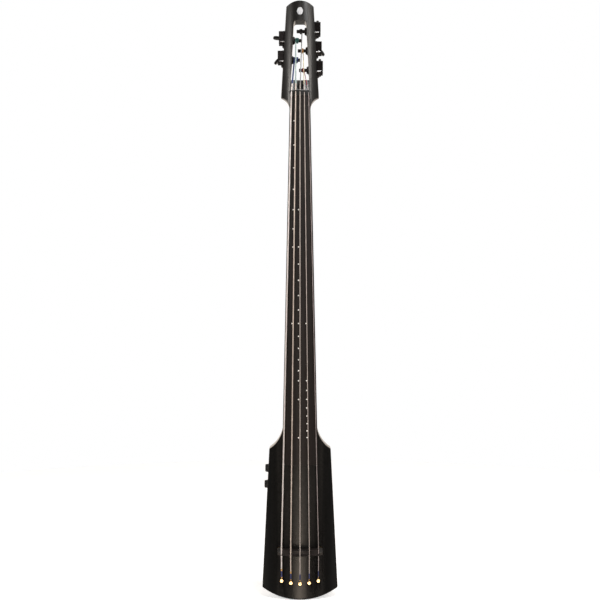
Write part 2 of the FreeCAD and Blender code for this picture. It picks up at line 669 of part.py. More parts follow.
def make_tuner(number, side, post_z, inner_x, key_angle):
    head_side = (d.head_low_z, d.head_low_half), (d.head_high_z, d.head_high_half)
    window_side = (d.window_low_z, d.window_low_half), (d.window_high_z, d.window_high_half)
    seat = half_width_at(post_z + d.seat_rise, *head_side)
    wall = half_width_at(post_z, *window_side) + 0.5
    block_out = seat + d.housing_reach
    worm_x = seat + d.worm_out
    worm_z = post_z + d.worm_rise

    # base plate against the head with its screwed foot, gear block, and the lip round the key shaft
    low_z = post_z - d.housing_low
    high_z = post_z + d.housing_high
    foot_z = post_z - d.foot_low
    screw_z = post_z - d.foot_screw_drop
    plate_corners = rounded((d.base_front_y, foot_z), (d.housing_back_y, high_z + 1), d.base_corner)
    plate = side_slab(side, seat, seat + d.plate_thickness, *plate_corners)
    block_corners = rounded((d.housing_front_y, low_z), (d.housing_back_y, high_z), d.housing_corner)
    block = side_slab(side, seat, block_out, *block_corners)
    foot_out = seat + d.foot_reach
    foot_corners = rounded((d.foot_front_y, foot_z), (d.foot_back_y, low_z + 2), d.foot_corner)
    foot = side_slab(side, seat, foot_out, *foot_corners)
    lip_out = block_out + d.cover_thickness
    lip_corners = rounded((d.lip_front_y, low_z - 1), (d.lip_back_y, high_z + 1), d.lip_corner)
    lip = side_slab(side, seat, lip_out, *lip_corners)
    hollow_start = seat + d.plate_thickness
    hollow = side_rod(side, d.gear_outer + d.gear_room, hollow_start, 12, d.post_y, post_z)
    post_hole = side_rod(side, d.post_radius + d.running_gap, seat - 1, 6, d.post_y, post_z)
    worm_start = (side * worm_x, d.worm_front_y - 0.2, worm_z)
    worm_hole = rod(d.worm_radius + d.gear_room, d.worm_length + 0.5, worm_start, "Y")
    shaft_hole_start = (side * worm_x, d.key_shaft_y - 4.7, worm_z)
    shaft_hole = rod(d.key_shaft_radius + d.running_gap, 12, shaft_hole_start, "Y")
    screw_holes = [side_rod(side, d.screw_radius, seat - 1, 7, y, screw_z) for y in screw_places]
    shell = cut(fuse(plate, block, foot, lip), hollow, post_hole, worm_hole, shaft_hole, *screw_holes)
    keep(f"tuner_housing_{number}", shell)
    cover_corners = rounded((d.housing_front_y, low_z), (d.lip_front_y, high_z), d.housing_corner)
    cover = side_slab(side, block_out, lip_out, *cover_corners)
    groove = side_box(
        side, lip_out - d.groove_depth, lip_out + 1,
        (d.housing_front_y - 1, post_z + d.groove_low), (d.lip_front_y + 5, post_z + d.groove_high),
    )
    covers.append(cut(cover, groove))
    for y in screw_places:
        shank_length = d.foot_reach + d.foot_screw_depth
        shank = side_rod(side, d.screw_radius, seat - d.foot_screw_depth, shank_length, y, screw_z)
        head = side_rod(side, d.screw_head_radius, foot_out, d.foot_screw_head, y, screw_z)
        slot = side_box(
            side, foot_out + 1, foot_out + 3,
            (y - 4, screw_z - d.foot_screw_slot_half), (y + 4, screw_z + d.foot_screw_slot_half),
        )
        tuner_screws.append(cut(fuse(shank, head), slot))
        hole_start = seat - d.foot_screw_depth
        neck_tools.append(side_rod(side, d.screw_radius, hole_start, 12, y, screw_z))

    # string post with its wheel, turning in a flanged bushing through the cheek
    post_length = seat + d.plate_thickness + 0.6 - side * inner_x
    post_body = side_rod(side, d.post_radius, side * size(inner_x), post_length, d.post_y, post_z)
    stub = side_rod(side, d.post_stub_radius, seat + d.plate_thickness + 0.6, 8, d.post_y, post_z)
    keep(f"tuner_post_{number}", fuse(post_body, stub))
    gear = fixed_shape(f"gear_{number}", gear_shape(
        d.gear_outer.value, d.gear_root.value, d.gear_width.value,
        int(d.gear_teeth.value), d.post_stub_radius.value,
    ))
    gear.Placement = FreeCAD.Placement(V(0, 0, 0), TURNS["X" if side > 0 else "-X"])
    gear_x = seat + d.worm_out - d.gear_width / 2
    for letter, length in zip("xyz", (side * gear_x, d.post_y, post_z)):
        bind(gear, "Placement.Base." + letter, length)
    keep(f"tuner_gear_{number}", gear)
    sleeve = side_rod(side, d.bushing_radius, wall, seat - wall, d.post_y, post_z)
    cone_base = (side * size(wall), d.post_y, post_z)
    inward = "-X" if side > 0 else "X"
    cone = taper(d.bushing_flange, d.bushing_nose, d.bushing_proud, cone_base, inward)
    bore = side_rod(side, d.post_radius + d.running_gap, wall - 10, seat - wall + 20, d.post_y, post_z)
    bushings.append(cut(fuse(sleeve, cone), bore))
    neck_tools.append(side_rod(side, d.bushing_radius, wall - 1, seat - wall + 6, d.post_y, post_z))
    neck_tools.append(side_rod(side, d.bushing_flange, wall - 4, 4, d.post_y, post_z))
    seat_low = (d.housing_front_y - 1, foot_z - 1)
    seat_high = (d.lip_back_y + 1, post_z + d.seat_rise + 1)
    neck_tools.append(side_box(side, seat, seat + 12, seat_low, seat_high))

    # worm on the key's shaft, with its thread drawn as collars that clear the wheel
    core = rod(d.worm_root, d.worm_length, (side * worm_x, d.worm_front_y, worm_z), "Y")
    collars = []
    for k in range(int(d.worm_collars.value)):
        collar_y = d.worm_front_y + d.worm_collar_inset + d.worm_pitch * k
        collars.append(rod(d.worm_radius, d.worm_collar_width, (side * worm_x, collar_y, worm_z), "Y"))
    shaft_length = d.key_front_y - d.key_shaft_y + d.key_shaft_grip
    shaft = rod(d.key_shaft_radius, shaft_length, (side * worm_x, d.key_shaft_y, worm_z), "Y")
    keep(f"tuner_worm_{number}", fuse(core, shaft, *collars))

    # two-lobed key behind the head, turned to where it was last left
    half = d.key_half_width
    lobe = d.key_lobe
    key = new_body(f"key_blank_{number}")
    waist = [
        (-half + lobe, -d.key_depth / 2), (half - lobe, -d.key_depth / 2),
        (half - lobe, d.key_depth / 2), (-half + lobe, d.key_depth / 2),
    ]
    ends_radius = bulge_radius(d.key_depth / 2, lobe)
    waist_radius = d.key_waist_radius
    arcs = {0: (waist_radius, 1), 1: (ends_radius, -1), 2: (waist_radius, 1), 3: (ends_radius, -1)}
    pad(key, trace(sketch(key, "XY_Plane"), waist, arcs), d.key_thickness, symmetric=True)
    hub_start = (0, -d.key_depth / 2 - d.key_hub_gap, 0)
    hub = rod(d.key_hub_radius, d.key_hub_length, hub_start, "Y")
    hub_bore = rod(d.key_shaft_radius, d.key_hub_bore, hub_start, "Y")
    whole = cut(fuse(key, hub), hub_bore)
    holder = doc.addObject("Part::Compound", f"key_{number}")
    holder.Links = [whole]
    holder.Placement = FreeCAD.Placement(V(0, 0, 0), FreeCAD.Rotation(V(0, 1, 0), side * key_angle))
    centre = (side * worm_x, d.key_front_y + d.key_depth / 2 + d.key_hub_gap, worm_z)
    for letter, length in zip("xyz", centre):
        bind(holder, "Placement.Base." + letter, length)
    keep(f"tuner_key_{number}", holder)
    return worm_x.value * side, worm_z.value


for number, side, post_z, inner_x, wrap_x, key_angle in TUNERS:
    worm_place = make_tuner(number, side, post_z, inner_x, key_angle)
    print(f"tuner {number}: worm axis x {worm_place[0]:.3f} z {worm_place[1]:.3f}, post z {post_z.value}")
keep("tuner_covers", group(*covers))
keep("tuner_bushings", group(*bushings))
keep("tuner_screws", group(*tuner_screws))

neck_blank = fuse(make_neck_shaft(), make_heel(), make_head())
bolt_places = [(x, z) for z in (d.bolt_low_z, d.bolt_high_z) for x in (-d.bolt_x, d.bolt_x)]
bolt_holes = [rod(d.bolt_radius, 27, (x, -56, z), "Y") for x, z in bolt_places]
nut_seat = box(nut_low, (d.board_half_nut, d.board_glue_y_nut, nut_top_z))
neck = keep("neck", cut(
    neck_blank, board_blank, nut_seat, window_cutter(), ramp_cutter(), rod_channel, rod_access,
    head_inlay, *bolt_holes, *neck_tools,
))

# ---------------------------------------------------------------- body


def make_body_blank():
    body = new_body("body_blank")
    scoop_rise = d.body_top_z - d.body_high_z
    scoop_radius = bulge_radius(scoop_rise, d.body_high_half - d.body_neck_half)
    corners = [
        (-d.body_low_half, d.body_low_z), (d.body_low_half, d.body_low_z),
        (d.body_high_half, d.body_high_z), (d.body_neck_half, d.body_top_z),
        (-d.body_neck_half, d.body_top_z), (-d.body_high_half, d.body_high_z),
    ]
    low_radius = bulge_radius(d.body_low_half, d.body_low_bulge)
    arcs = {0: (low_radius, -1), 2: (scoop_radius, 1), 4: (scoop_radius, 1)}
    pad(body, trace(sketch(body, "XZ_Plane", -d.body_back_y), corners, arcs), d.body_depth)

    def at_corner(low):
        def wanted(edge):
            z = edge.Vertexes[0].Point.z
            near = z < 0 if low else 100 < z < d.body_top_z.value - 1
            return runs_along(edge, V(0, 1, 0)) and near
        return wanted

    round_edges(body, d.body_corner_radius, at_corner(True))
    round_edges(body, d.body_shoulder_radius, at_corner(False))
    crown_y = d.body_back_y - d.body_depth
    edge = d.body_low_half + 10
    edge_y = crown_y + arc_drop(d.body_front_radius, edge)
    crescent = [(-edge, crown_y - 9), (edge, crown_y - 9), (edge, edge_y), (-edge, edge_y)]
    pocket(body, trace(sketch(body, "XY_Plane"), crescent, {2: (d.body_front_radius, 1)}), 900)
    top = d.body_top_z.value
    back = d.body_back_y.value

    def on_back(edge):
        return all(abs(v.Point.y - back) < 1e-4 for v in edge.Vertexes) and not on_top(edge)

    def on_top(edge):
        return all(abs(v.Point.z - top) < 1e-4 for v in edge.Vertexes)

    def on_front(edge):
        ends = [v.Point for v in edge.Vertexes]
        beyond = all(p.y < back - 20 for p in ends)
        return beyond and not runs_along(edge, V(0, 1, 0)) and not on_top(edge)

    round_edges(body, d.body_back_round, on_back)
    round_edges(body, d.body_front_round, on_front)
    return body


body_crown_y = d.body_back_y - d.body_depth
body_blank = make_body_blank()
body_front = front_cylinder(d.body_front_radius, body_crown_y, d.body_low_z, d.body_high_z)


def side_half(z):
    return half_width_at(z, (d.body_low_z, d.body_low_half), (d.body_high_z, d.body_high_half))


cavity_z = (d.cavity_low_z, d.cavity_high_z)
cavity = slab("XZ_Plane", *rounded(
    (d.cavity_outer_x, cavity_z[0]), (d.cavity_inner_x, cavity_z[1]), 6), 0, -d.cavity_floor_y)
cover_low = (d.cavity_outer_x - 1, cavity_z[0] - d.cover_lip)
cover_high = (d.cavity_inner_x + d.cover_lip, cavity_z[1] + d.cover_lip)
recess_low = (cover_low[0] - d.cover_gap, cover_low[1] - d.cover_gap)
recess_high = (cover_high[0] + d.cover_gap, cover_high[1] + d.cover_gap)
recess_outline = rounded(recess_low, recess_high, d.cover_corner + d.cover_gap)
cover_recess = slab("XZ_Plane", *recess_outline, 0, d.cover_depth - d.body_back_y)
cover_outline = rounded(cover_low, cover_high, d.cover_corner)
cover_blank = slab("XZ_Plane", *cover_outline, -d.body_back_y, d.cover_depth)

body_tools = [cavity, cover_recess]

# ---------------------------------------------------------------- controls on the thick-string side


def make_knob(name, seat_x, z):
    """Fluted cap with a smooth skirt, hollow below to clear the pot's nut."""
    body = new_body(name + "_blank")
    length = d.knob_length
    profile = [
        (0, d.knob_hollow_depth), (d.knob_hollow_radius, d.knob_hollow_depth),
        (d.knob_hollow_radius, 0), (d.knob_skirt_radius, 0), (d.knob_skirt_radius, d.knob_skirt_height),
        (d.knob_radius, d.knob_skirt_height + 0.5), (d.knob_radius - 0.3, length - 1),
        (d.knob_radius - 1.3, length), (0, length),
    ]
    outline = trace(sketch(body, "XZ_Plane"), profile)
    turned = body.newObject("PartDesign::Revolution", "turned")
    turned.Profile = outline
    turned.ReferenceAxis = (outline, ["V_Axis"])
    turned.Angle = 360
    doc.recompute()
    flute = sketch(body, "XY_Plane", length)
    groove_circle = Part.Circle(V(d.knob_radius.value, 0, 0), V(0, 0, 1), d.knob_flute_radius.value)
    index = flute.addGeometry(groove_circle, False)
    radius = flute.addConstraint(Sketcher.Constraint("Radius", index, d.knob_flute_radius.value))
    bind(flute, f"Constraints[{radius}]", d.knob_flute_radius)
    flute_x = d.knob_radius + 0.3
    place = flute.addConstraint(Sketcher.Constraint("DistanceX", -1, 1, index, 3, flute_x.value))
    bind(flute, f"Constraints[{place}]", flute_x)
    flute.addConstraint(Sketcher.Constraint("PointOnObject", index, 3, -1))
    before = body.Shape.Volume
    groove = body.newObject("PartDesign::Pocket", "groove")
    groove.Profile = flute
    bind(groove, "Length", length - 3.4)
    doc.recompute()
    if body.Shape.Volume >= before:
        raise RuntimeError("the knob's flute cut nothing")
    around = body.newObject("PartDesign::PolarPattern", "around")
    around.Originals = [groove]
    around.Axis = (outline, ["V_Axis"])
    around.Angle = 360
    bind(around, "Occurrences", d.knob_flutes)
    body.Tip = around
    bore = rod(d.pot_shaft_radius, length - 3.6, (0, 0, 2.6), "Z")
    pointer = box((2.5, -0.5, length - 0.4), (8.6, 0.5, length + 1))
    holder = doc.addObject("Part::Compound", name + "_holder")
    holder.Links = [cut(body, bore, pointer)]
    put(holder, (seat_x, d.knob_y, z), "-X")
    return keep(name, holder)


pots = []
pot_nuts = []
for name, z in (("volume", d.volume_z), ("tone", d.tone_z)):
    seat_x = -side_half(z + 12)
    body_tools.append(rod(d.pot_seat_radius, 20, (seat_x, d.knob_y, z), "-X"))
    body_tools.append(rod(d.pot_bushing_radius + d.running_gap, 20, (seat_x - 2, d.knob_y, z), "X"))
    wall = d.cavity_outer_x - seat_x
    pot_face = (d.cavity_outer_x, d.knob_y, z)
    case = rod(d.pot_radius, d.pot_length, pot_face, "X")
    bushing = rod(d.pot_bushing_radius, wall + d.pot_nut_height + 0.4, pot_face, "-X")
    lugs = []
    for step in (-1, 0, 1):
        lug_x = d.cavity_outer_x + 1
        lug_z = z + step * d.lug_pitch
        lugs.append(box(
            (lug_x, d.knob_y - d.pot_radius - 4, lug_z - d.lug_half_width),
            (lug_x + d.lug_thickness, d.knob_y - 6, lug_z + d.lug_half_width),
        ))
    shaft_bore = rod(d.pot_shaft_radius + d.running_gap, 30, (d.cavity_outer_x + 4, d.knob_y, z), "-X")
    pots.append(cut(fuse(case, bushing, *lugs), shaft_bore))
    nut_ring = rod(d.pot_nut_radius, d.pot_nut_height, (seat_x, d.knob_y, z), "-X")
    pot_nuts.append(cut(nut_ring, rod(d.pot_bushing_radius, 4, (seat_x + 1, d.knob_y, z), "-X")))
    knob_x = seat_x - d.knob_gap
    shaft_start = d.cavity_outer_x + 3.6
    shaft_length = d.knob_length - 1 + d.knob_gap - seat_x + shaft_start
    keep(name + "_shaft", rod(d.pot_shaft_radius, shaft_length, (shaft_start, d.knob_y, z), "-X"))
    make_knob(name + "_knob", knob_x, z)
keep("pots", group(*pots))
keep("pot_nuts", group(*pot_nuts))

# ---------------------------------------------------------------- output jack and cavity cover

jack_start = (d.jack_x, -0.8, d.jack_z)
jack_case = rod(d.jack_case_radius, d.jack_case_length, (d.jack_x, -8, d.jack_z), "-Y")
jack_sleeve = rod(d.jack_sleeve_radius, 8, jack_start, "-Y")
jack_bore = rod(d.jack_bore_radius, 21, (d.jack_x, 1, d.jack_z), "-Y")
keep("output_jack", cut(fuse(jack_case, jack_sleeve), jack_bore))
jack_ring = rod(d.jack_ring_radius, d.jack_ring_height, (d.jack_x, -1.2, d.jack_z), "-Y")
keep("jack_nut", cut(jack_ring, rod(d.jack_sleeve_radius, 6, (d.jack_x, 1, d.jack_z), "-Y")))


def countersunk(x, back_y, z, head, shank, length):
    """A screw driven in from the back, and the tools that make its hole."""
    def outline():
        cone = taper(head, shank - 0.1, head - shank, (x, back_y, z), "-Y")
        return [cone, rod(shank, length - 1, (x, back_y - 1, z), "-Y")]

    recess = head * 0.65
    slots = [
        box((x - recess, back_y - 0.7, z - 0.4), (x + recess, back_y + 1, z + 0.4)),
        box((x - 0.4, back_y - 0.7, z - recess), (x + 0.4, back_y + 1, z + recess)),
    ]
    return cut(fuse(*outline()), *slots), outline()


cover_screws = []
cover_holes = []
for x in (cover_low[0] + d.cover_screw_in_x, cover_high[0] - d.cover_screw_in_x):
    for z in (cover_low[1] + d.cover_screw_in_z, cover_high[1] - d.cover_screw_in_z):
        screw, hole = countersunk(
            x, d.body_back_y, z, d.screw_head_radius, d.screw_radius, d.screw_length)
        cover_screws.append(screw)
        cover_holes += hole
        body_tools.append(rod(d.screw_radius, d.screw_length - 1, (x, d.body_back_y - 1, z), "-Y"))
jack_hole = rod(d.jack_sleeve_radius + d.cover_gap, 12, (d.jack_x, 0, d.jack_z), "-Y")
keep("cavity_cover", cut(cover_blank, jack_hole, *cover_holes))

# ---------------------------------------------------------------- stand plate

plate_low = (-d.stand_plate_half_x, -d.stand_plate_half_z)
plate_high = (d.stand_plate_half_x, d.stand_plate_half_z)
plate_outline = rounded(plate_low, plate_high, d.plate_corner)
plate_blank = slab("XZ_Plane", *plate_outline, 0, d.stand_plate_thickness)
boss_length = d.socket_length + 3
boss = rod(d.socket_boss_radius, boss_length, (0, 0, 0), "-Y")
socket = rod(d.socket_radius, d.socket_length, (0, 0, 0), "-Y")
plate_screws = []
plate_holes = []
for x in (-d.plate_screw_x, d.plate_screw_x):
    for z in (-d.plate_screw_z, d.plate_screw_z):
        screw, hole = countersunk(
            x, size(0), z, d.plate_screw_head, d.plate_screw_radius, d.plate_screw_length)
        plate_screws.append(screw)
        plate_holes += hole
        body_tools.append(rod(d.plate_screw_radius, d.plate_screw_length - 1, (x, -1, z), "-Y"))
keep("stand_plate", cut(fuse(plate_blank, boss), socket, *plate_holes))
keep("back_screws", group(*cover_screws, *plate_screws))
body_tools.append(rod(d.socket_boss_radius, boss_length, (0, 0, 0), "-Y"))

# ---------------------------------------------------------------- neck bolts

bolts = []
for x, z in bolt_places:
    shank = rod(d.bolt_radius, 50, (x, -5, z), "-Y")
    head = rod(d.bolt_head_radius, 4, (x, -3, z), "-Y")
    hex_hole = doc.addObject("Part::Prism", "hex_hole")
    hex_hole.Polygon = 6
    hex_hole.Circumradius = 2.9
    hex_hole.Height = 3
    put(hex_hole, (x, -3 + 0.5, z), "-Y")
    bolts.append(cut(fuse(shank, head), hex_hole))
    body_tools.append(rod(d.bolt_head_radius, 8, (x, 1, z), "-Y"))
    body_tools.append(rod(d.bolt_radius, 40, (x, -5, z), "-Y"))
keep("neck_bolts", group(*bolts))

# ---------------------------------------------------------------- bridge


def make_bridge_block():
    body = new_body("bridge_blank")
    centre_y = body_crown_y + d.body_front_radius
    under_radius = d.body_front_radius + d.bridge_clearance
    foot = d.bridge_foot_half
    foot_y = centre_y - square_root(under_radius * under_radius - foot * foot)
    half = d.bridge_half
    shoulder_y = d.bridge_crown_y + arc_drop(d.bridge_crown_radius, half)
    tab = d.bridge_tab_half
    low = d.bridge_tab_low_y
    high = d.bridge_tab_low_y - d.bridge_tab_thickness
    corners = [
        (-tab, high), (-half, high), (-half, shoulder_y), (half, shoulder_y), (half, high), (tab, high),
        (tab, low), (foot, low), (foot, foot_y), (-foot, foot_y), (-foot, low), (-tab, low),
    ]
    arcs = {2: (d.bridge_crown_radius, -1), 8: (under_radius, 1)}
    start = d.bridge_high_z - d.bridge_thickness
    pad(body, trace(sketch(body, "XY_Plane", start), corners, arcs), d.bridge_thickness)
    crest_z = d.bridge_high_z - d.bridge_crest
    slope = [
        (d.bridge_crown_y - 3, crest_z), (d.bridge_crown_y + 0.5, crest_z), (high - 1, start + 1),
        (high - 1, start - 4), (d.bridge_crown_y - 3, start - 4),
    ]
    pocket(body, trace(sketch(body, "YZ_Plane"), slope), 3 * d.bridge_tab_half)
    return body


tab_top_y = d.bridge_tab_low_y - d.bridge_tab_thickness
bridge_tools = []
inserts = []
for side, name in ((-1, "bridge_screw_bass"), (1, "bridge_screw_treble")):
    x = side * d.bridge_screw_x
    slot_end = side * (d.bridge_tab_half + 2)
    slot_span = (x, slot_end) if side > 0 else (slot_end, x)
    half = d.bridge_screw_radius + 0.15
    bridge_tools.append(rod(half, 12, (x, d.bridge_tab_low_y + 2, d.saddle_z), "-Y"))
    bridge_tools.append(box(
        (slot_span[0], tab_top_y - 1, d.saddle_z - half),
        (slot_span[1], d.bridge_tab_low_y + 1, d.saddle_z + half),
    ))
    bridge_tools.append(rod(d.bridge_screw_head + 0.4, 3.9, (x, tab_top_y, d.saddle_z), "-Y"))
    shank_length = d.bridge_screw_end_y - d.bridge_tab_low_y + 2
    shank = rod(d.bridge_screw_radius - 0.05, shank_length, (x, d.bridge_screw_end_y, d.saddle_z), "-Y")
    collar = rod(d.bridge_screw_collar, 2, (x, d.bridge_tab_low_y + 2.1, d.saddle_z), "-Y")
    stem = rod(d.bridge_screw_radius, 8, (x, d.bridge_tab_low_y + 1, d.saddle_z), "-Y")
    head = rod(d.bridge_screw_head, 3.2, (x, tab_top_y - 0.1, d.saddle_z), "-Y")
    slot = box(
        (x - 7, tab_top_y - 5, d.saddle_z - 0.7), (x + 7, tab_top_y - 1.8, d.saddle_z + 0.7),
    )
    keep(name, cut(fuse(shank, collar, stem, head), slot))
    insert_rod = rod(d.insert_radius, 40, (x, d.insert_end_y, d.saddle_z), "-Y")
    thread = rod(d.bridge_screw_radius, 40, (x, d.insert_end_y - 1.5, d.saddle_z), "-Y")
    inserts.append(cut(common(insert_rod, body_front), thread))
    body_tools.append(rod(d.insert_radius, 40, (x, d.insert_end_y, d.saddle_z), "-Y"))
keep("bridge_inserts", group(*inserts))

trim_half = d.bridge_tab_half + 7
trim_z = d.bridge_high_z - d.bridge_thickness
trim_corners = [
    (-trim_half, trim_z - 10), (trim_half, trim_z - 10),
    (trim_half, trim_z + d.bridge_low_bulge), (-trim_half, trim_z + d.bridge_low_bulge),
]
trim_arcs = {2: (bulge_radius(trim_half, d.bridge_low_bulge), 1)}
bridge_tools.append(slab("XZ_Plane", trim_corners, trim_arcs, 60, 60))

saddle_grooves = fixed_shape(
    "saddle_grooves", Part.makeCompound([string_run(i, 0.15) for i in range(STRING_COUNT)])
)
piezo_low = (-d.piezo_half, d.piezo_front_y, d.saddle_z - d.piezo_half_width)
piezo_high = (d.piezo_half, d.piezo_back_y, d.saddle_z + d.piezo_half_width)
keep("bridge_piezo", box(piezo_low, piezo_high))
piezo_slot = box(piezo_low, (d.piezo_half, d.piezo_back_y + 17.5, d.saddle_z + d.piezo_half_width))
lead_way = rod(1.5, 26, (0, -76, d.saddle_z), "Y")
body_tools.append(lead_way)
keep("bridge", cut(make_bridge_block(), saddle_grooves, piezo_slot, *bridge_tools))

# ---------------------------------------------------------------- ball ends and their keyholes

balls = []
ball_solids = []
for index in range(STRING_COUNT):
    centre = ball_centre(index)
    front = centre - V(0, d.ball_length.value / 2, 0)
    solid = Part.makeCylinder(d.ball_radius.value, d.ball_length.value, front, V(0, 1, 0))
    groove = Part.makeTorus(d.ball_radius.value + 1.2, 2.2, centre, V(0, 1, 0))
    hole = Part.makeCylinder(d.ball_hole_radius.value, d.ball_length.value, front, V(0, 1, 0))
    balls.append(solid.cut([groove, hole]))
    ball_solids.append(solid)
    gap = d.keyhole_gap.value
    depth = d.ball_length.value + d.keyhole_room.value
    floor = centre + V(0, d.ball_backing.value, 0)
    well = Part.makeCylinder(d.ball_radius.value + gap, depth, floor, V(0, -1, 0))
    half = STRING_DIAMETERS[index] / 2 + gap
    way = Part.makeBox(2 * half, depth, d.keyhole_length.value, floor - V(half, depth, 0))
    body_tools.append(fixed_shape(f"keyhole_{index + 1}", well.fuse(way)))
keep("string_ball_ends", fixed_shape("balls", Part.makeCompound(balls)))

# ---------------------------------------------------------------- strings

for index, diameter in enumerate(STRING_DIAMETERS):
    post_z, wrap_x = TUNERS[index][2].value, TUNERS[index][4]
    inner = d.post_radius.value + WRAP_GAP
    width = WRAP_TURNS * diameter
    base = V(wrap_x - width / 2, d.post_y.value, post_z)
    coil = Part.makeCylinder(inner + diameter, width, base, V(1, 0, 0))
    run = string_run(index).fuse(coil)
    core = Part.makeCylinder(inner, width + 10, base - V(5, 0, 0), V(1, 0, 0))
    keep(f"string_{index + 1}", fixed_shape(f"run_{index + 1}", run.cut([core, ball_solids[index]])))

# ---------------------------------------------------------------- wiring inside the cavity

wires = [
    [V(-57.3, -20, 94), V(-50, -24, 84), V(-52, -28, 62), V(-57.3, -20.5, 56)],
    [V(-57, -33, 54), V(-48, -34, 44), V(-46, -26, 36)],
    [V(-36, -34, 22), V(-38, -35, 60), V(-50, -36, 84), V(-57, -32, 92)],
]
keep("wiring", fixed_shape("wires", Part.makeCompound([chain(points, 0.8) for points in wires])))

# ---------------------------------------------------------------- body, and the hand-over

keep("body", cut(body_blank, make_heel(), *body_tools))
doc.recompute()

for thing in doc.Objects:
    if any(word in thing.State for word in ("Invalid", "Error")):
        raise RuntimeError(f"{thing.Label} ({thing.TypeId}) failed: {thing.State}")
for node, thing in PARTS.items():
    if thing.Label != node:
        raise RuntimeError(f"{thing.Label} should be called {node}")
    if thing.Shape.isNull() or not thing.Shape.isValid() or thing.Shape.Volume <= 0:
        raise RuntimeError(node + " has no valid solid")

os.makedirs("parts", exist_ok=True)
for node, thing in PARTS.items():
    thing.Shape.exportStep(f"parts/{node}.step")
print(len(PARTS), "sub-parts written")
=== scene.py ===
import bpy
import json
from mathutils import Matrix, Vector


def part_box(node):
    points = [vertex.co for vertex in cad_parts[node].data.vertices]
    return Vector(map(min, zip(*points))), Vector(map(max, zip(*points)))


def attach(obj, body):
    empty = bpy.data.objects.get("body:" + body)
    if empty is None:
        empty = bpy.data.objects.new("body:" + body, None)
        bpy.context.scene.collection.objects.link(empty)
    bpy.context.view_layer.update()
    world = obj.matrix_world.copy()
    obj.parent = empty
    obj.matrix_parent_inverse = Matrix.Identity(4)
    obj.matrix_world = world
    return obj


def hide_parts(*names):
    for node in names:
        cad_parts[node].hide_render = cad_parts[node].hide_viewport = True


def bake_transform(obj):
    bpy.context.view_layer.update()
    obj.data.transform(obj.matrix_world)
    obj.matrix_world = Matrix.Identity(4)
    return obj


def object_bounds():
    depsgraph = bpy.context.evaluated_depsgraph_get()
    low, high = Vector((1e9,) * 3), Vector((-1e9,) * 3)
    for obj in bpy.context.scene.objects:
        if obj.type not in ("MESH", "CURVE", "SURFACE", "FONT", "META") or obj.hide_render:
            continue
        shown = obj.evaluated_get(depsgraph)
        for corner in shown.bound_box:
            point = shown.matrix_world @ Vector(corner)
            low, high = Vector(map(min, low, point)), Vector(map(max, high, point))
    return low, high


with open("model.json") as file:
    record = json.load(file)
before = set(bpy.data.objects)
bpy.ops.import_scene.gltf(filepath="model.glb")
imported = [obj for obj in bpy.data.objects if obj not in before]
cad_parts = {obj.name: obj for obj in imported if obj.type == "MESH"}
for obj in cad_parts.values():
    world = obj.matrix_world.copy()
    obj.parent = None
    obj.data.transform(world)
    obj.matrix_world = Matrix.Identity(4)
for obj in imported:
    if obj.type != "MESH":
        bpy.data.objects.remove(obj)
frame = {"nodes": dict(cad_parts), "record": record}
cad_box = [list(corner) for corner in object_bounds()]

import json
import math

import bmesh
import bpy
import numpy as np
from mathutils import Vector
from mathutils.bvhtree import BVHTree

# Stick-type electric upright bass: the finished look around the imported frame. Metres throughout.
# -Y is the playing side, +Z runs up the neck, +X is the thin-string side.

MM = 0.001
NODES = frame["nodes"]
RECORD = frame["record"]
BODY_OF = {node: body for body, nodes in RECORD["behaviour"]["bodies"].items() for node in nodes}
SLOT_OF = {part["node"]: part["material_slot"] for part in RECORD["subparts"]}

# ---------------------------------------------------------------- camera, floor and light

# grey level by how far a direction leans towards +Y (SIDES, BEHIND) or +Z (ABOVE, BELOW)
SIDES = [(-0.52, 0.0075), (-0.34, 0.125), (-0.12, 0.28), (0.15, 0.10), (0.4, 0.07)]
BEHIND = [(0.5, 0.0), (0.85, 0.95)]
ABOVE = [(-0.16, 0.05), (-0.06, 1.0)]
BELOW = [(-0.85, 0.55), (-0.62, 0.0075)]
SURROUND_STRENGTH = 1.6
CAMERA_HEIGHT = 0.4935
CAMERA_Y = -2.675
LENS = 66.8
SENSOR = 36
WHITE = (1, 1, 1)
WARM = (1.0, 0.95, 0.89)
AMBER = (1.0, 0.84, 0.68)
# name, place, target, width, height, watts and colour. The two belly lamps stand below the floor's level.
LAMPS = [
    ("belly", (0, -2.4, -0.95), (0, 0, -0.25), 0.85, 0.75, 10.4, AMBER),
    ("belly_high", (0, -2.4, -0.42), (0, 0, 0), 0.85, 0.5, 1.3, AMBER),
    ("overhead", (0.42, -0.85, 2.5), (0, 0, 1.0), 0.9, 0.6, 26, WHITE),
    ("left", (-1.80, -1.22, 1.22), (0, 0, 0.95), 0.75, 0.40, 13.0, WARM),
    ("right", (1.72, -1.32, 1.36), (0, 0, 0.98), 0.62, 0.50, 9.4, WARM),
    ("high_right", (1.25, -1.9, 1.95), (0, 0, 1.15), 0.8, 0.6, 8, WHITE),
    ("front", (0.0, -3.2, 0.9), (0, 0, 0.5), 1.0, 1.6, 11, WARM),
]
FLOOR_RADIUS = 2.2
FLOOR_SIDES = 96
# the colour sockets of a Mix node, by number because their names repeat
MIX_FACTOR, MIX_ONE, MIX_OTHER, MIX_RESULT = 0, 6, 7, 2


def make_camera():
    camera = bpy.data.objects.new("camera", bpy.data.cameras.new("camera"))
    camera.data.lens = LENS
    camera.data.sensor_width = SENSOR
    camera.location = (0, CAMERA_Y, CAMERA_HEIGHT)
    camera.rotation_euler = (math.radians(90), 0, 0)
    bpy.context.scene.collection.objects.link(camera)
    bpy.context.scene.camera = camera


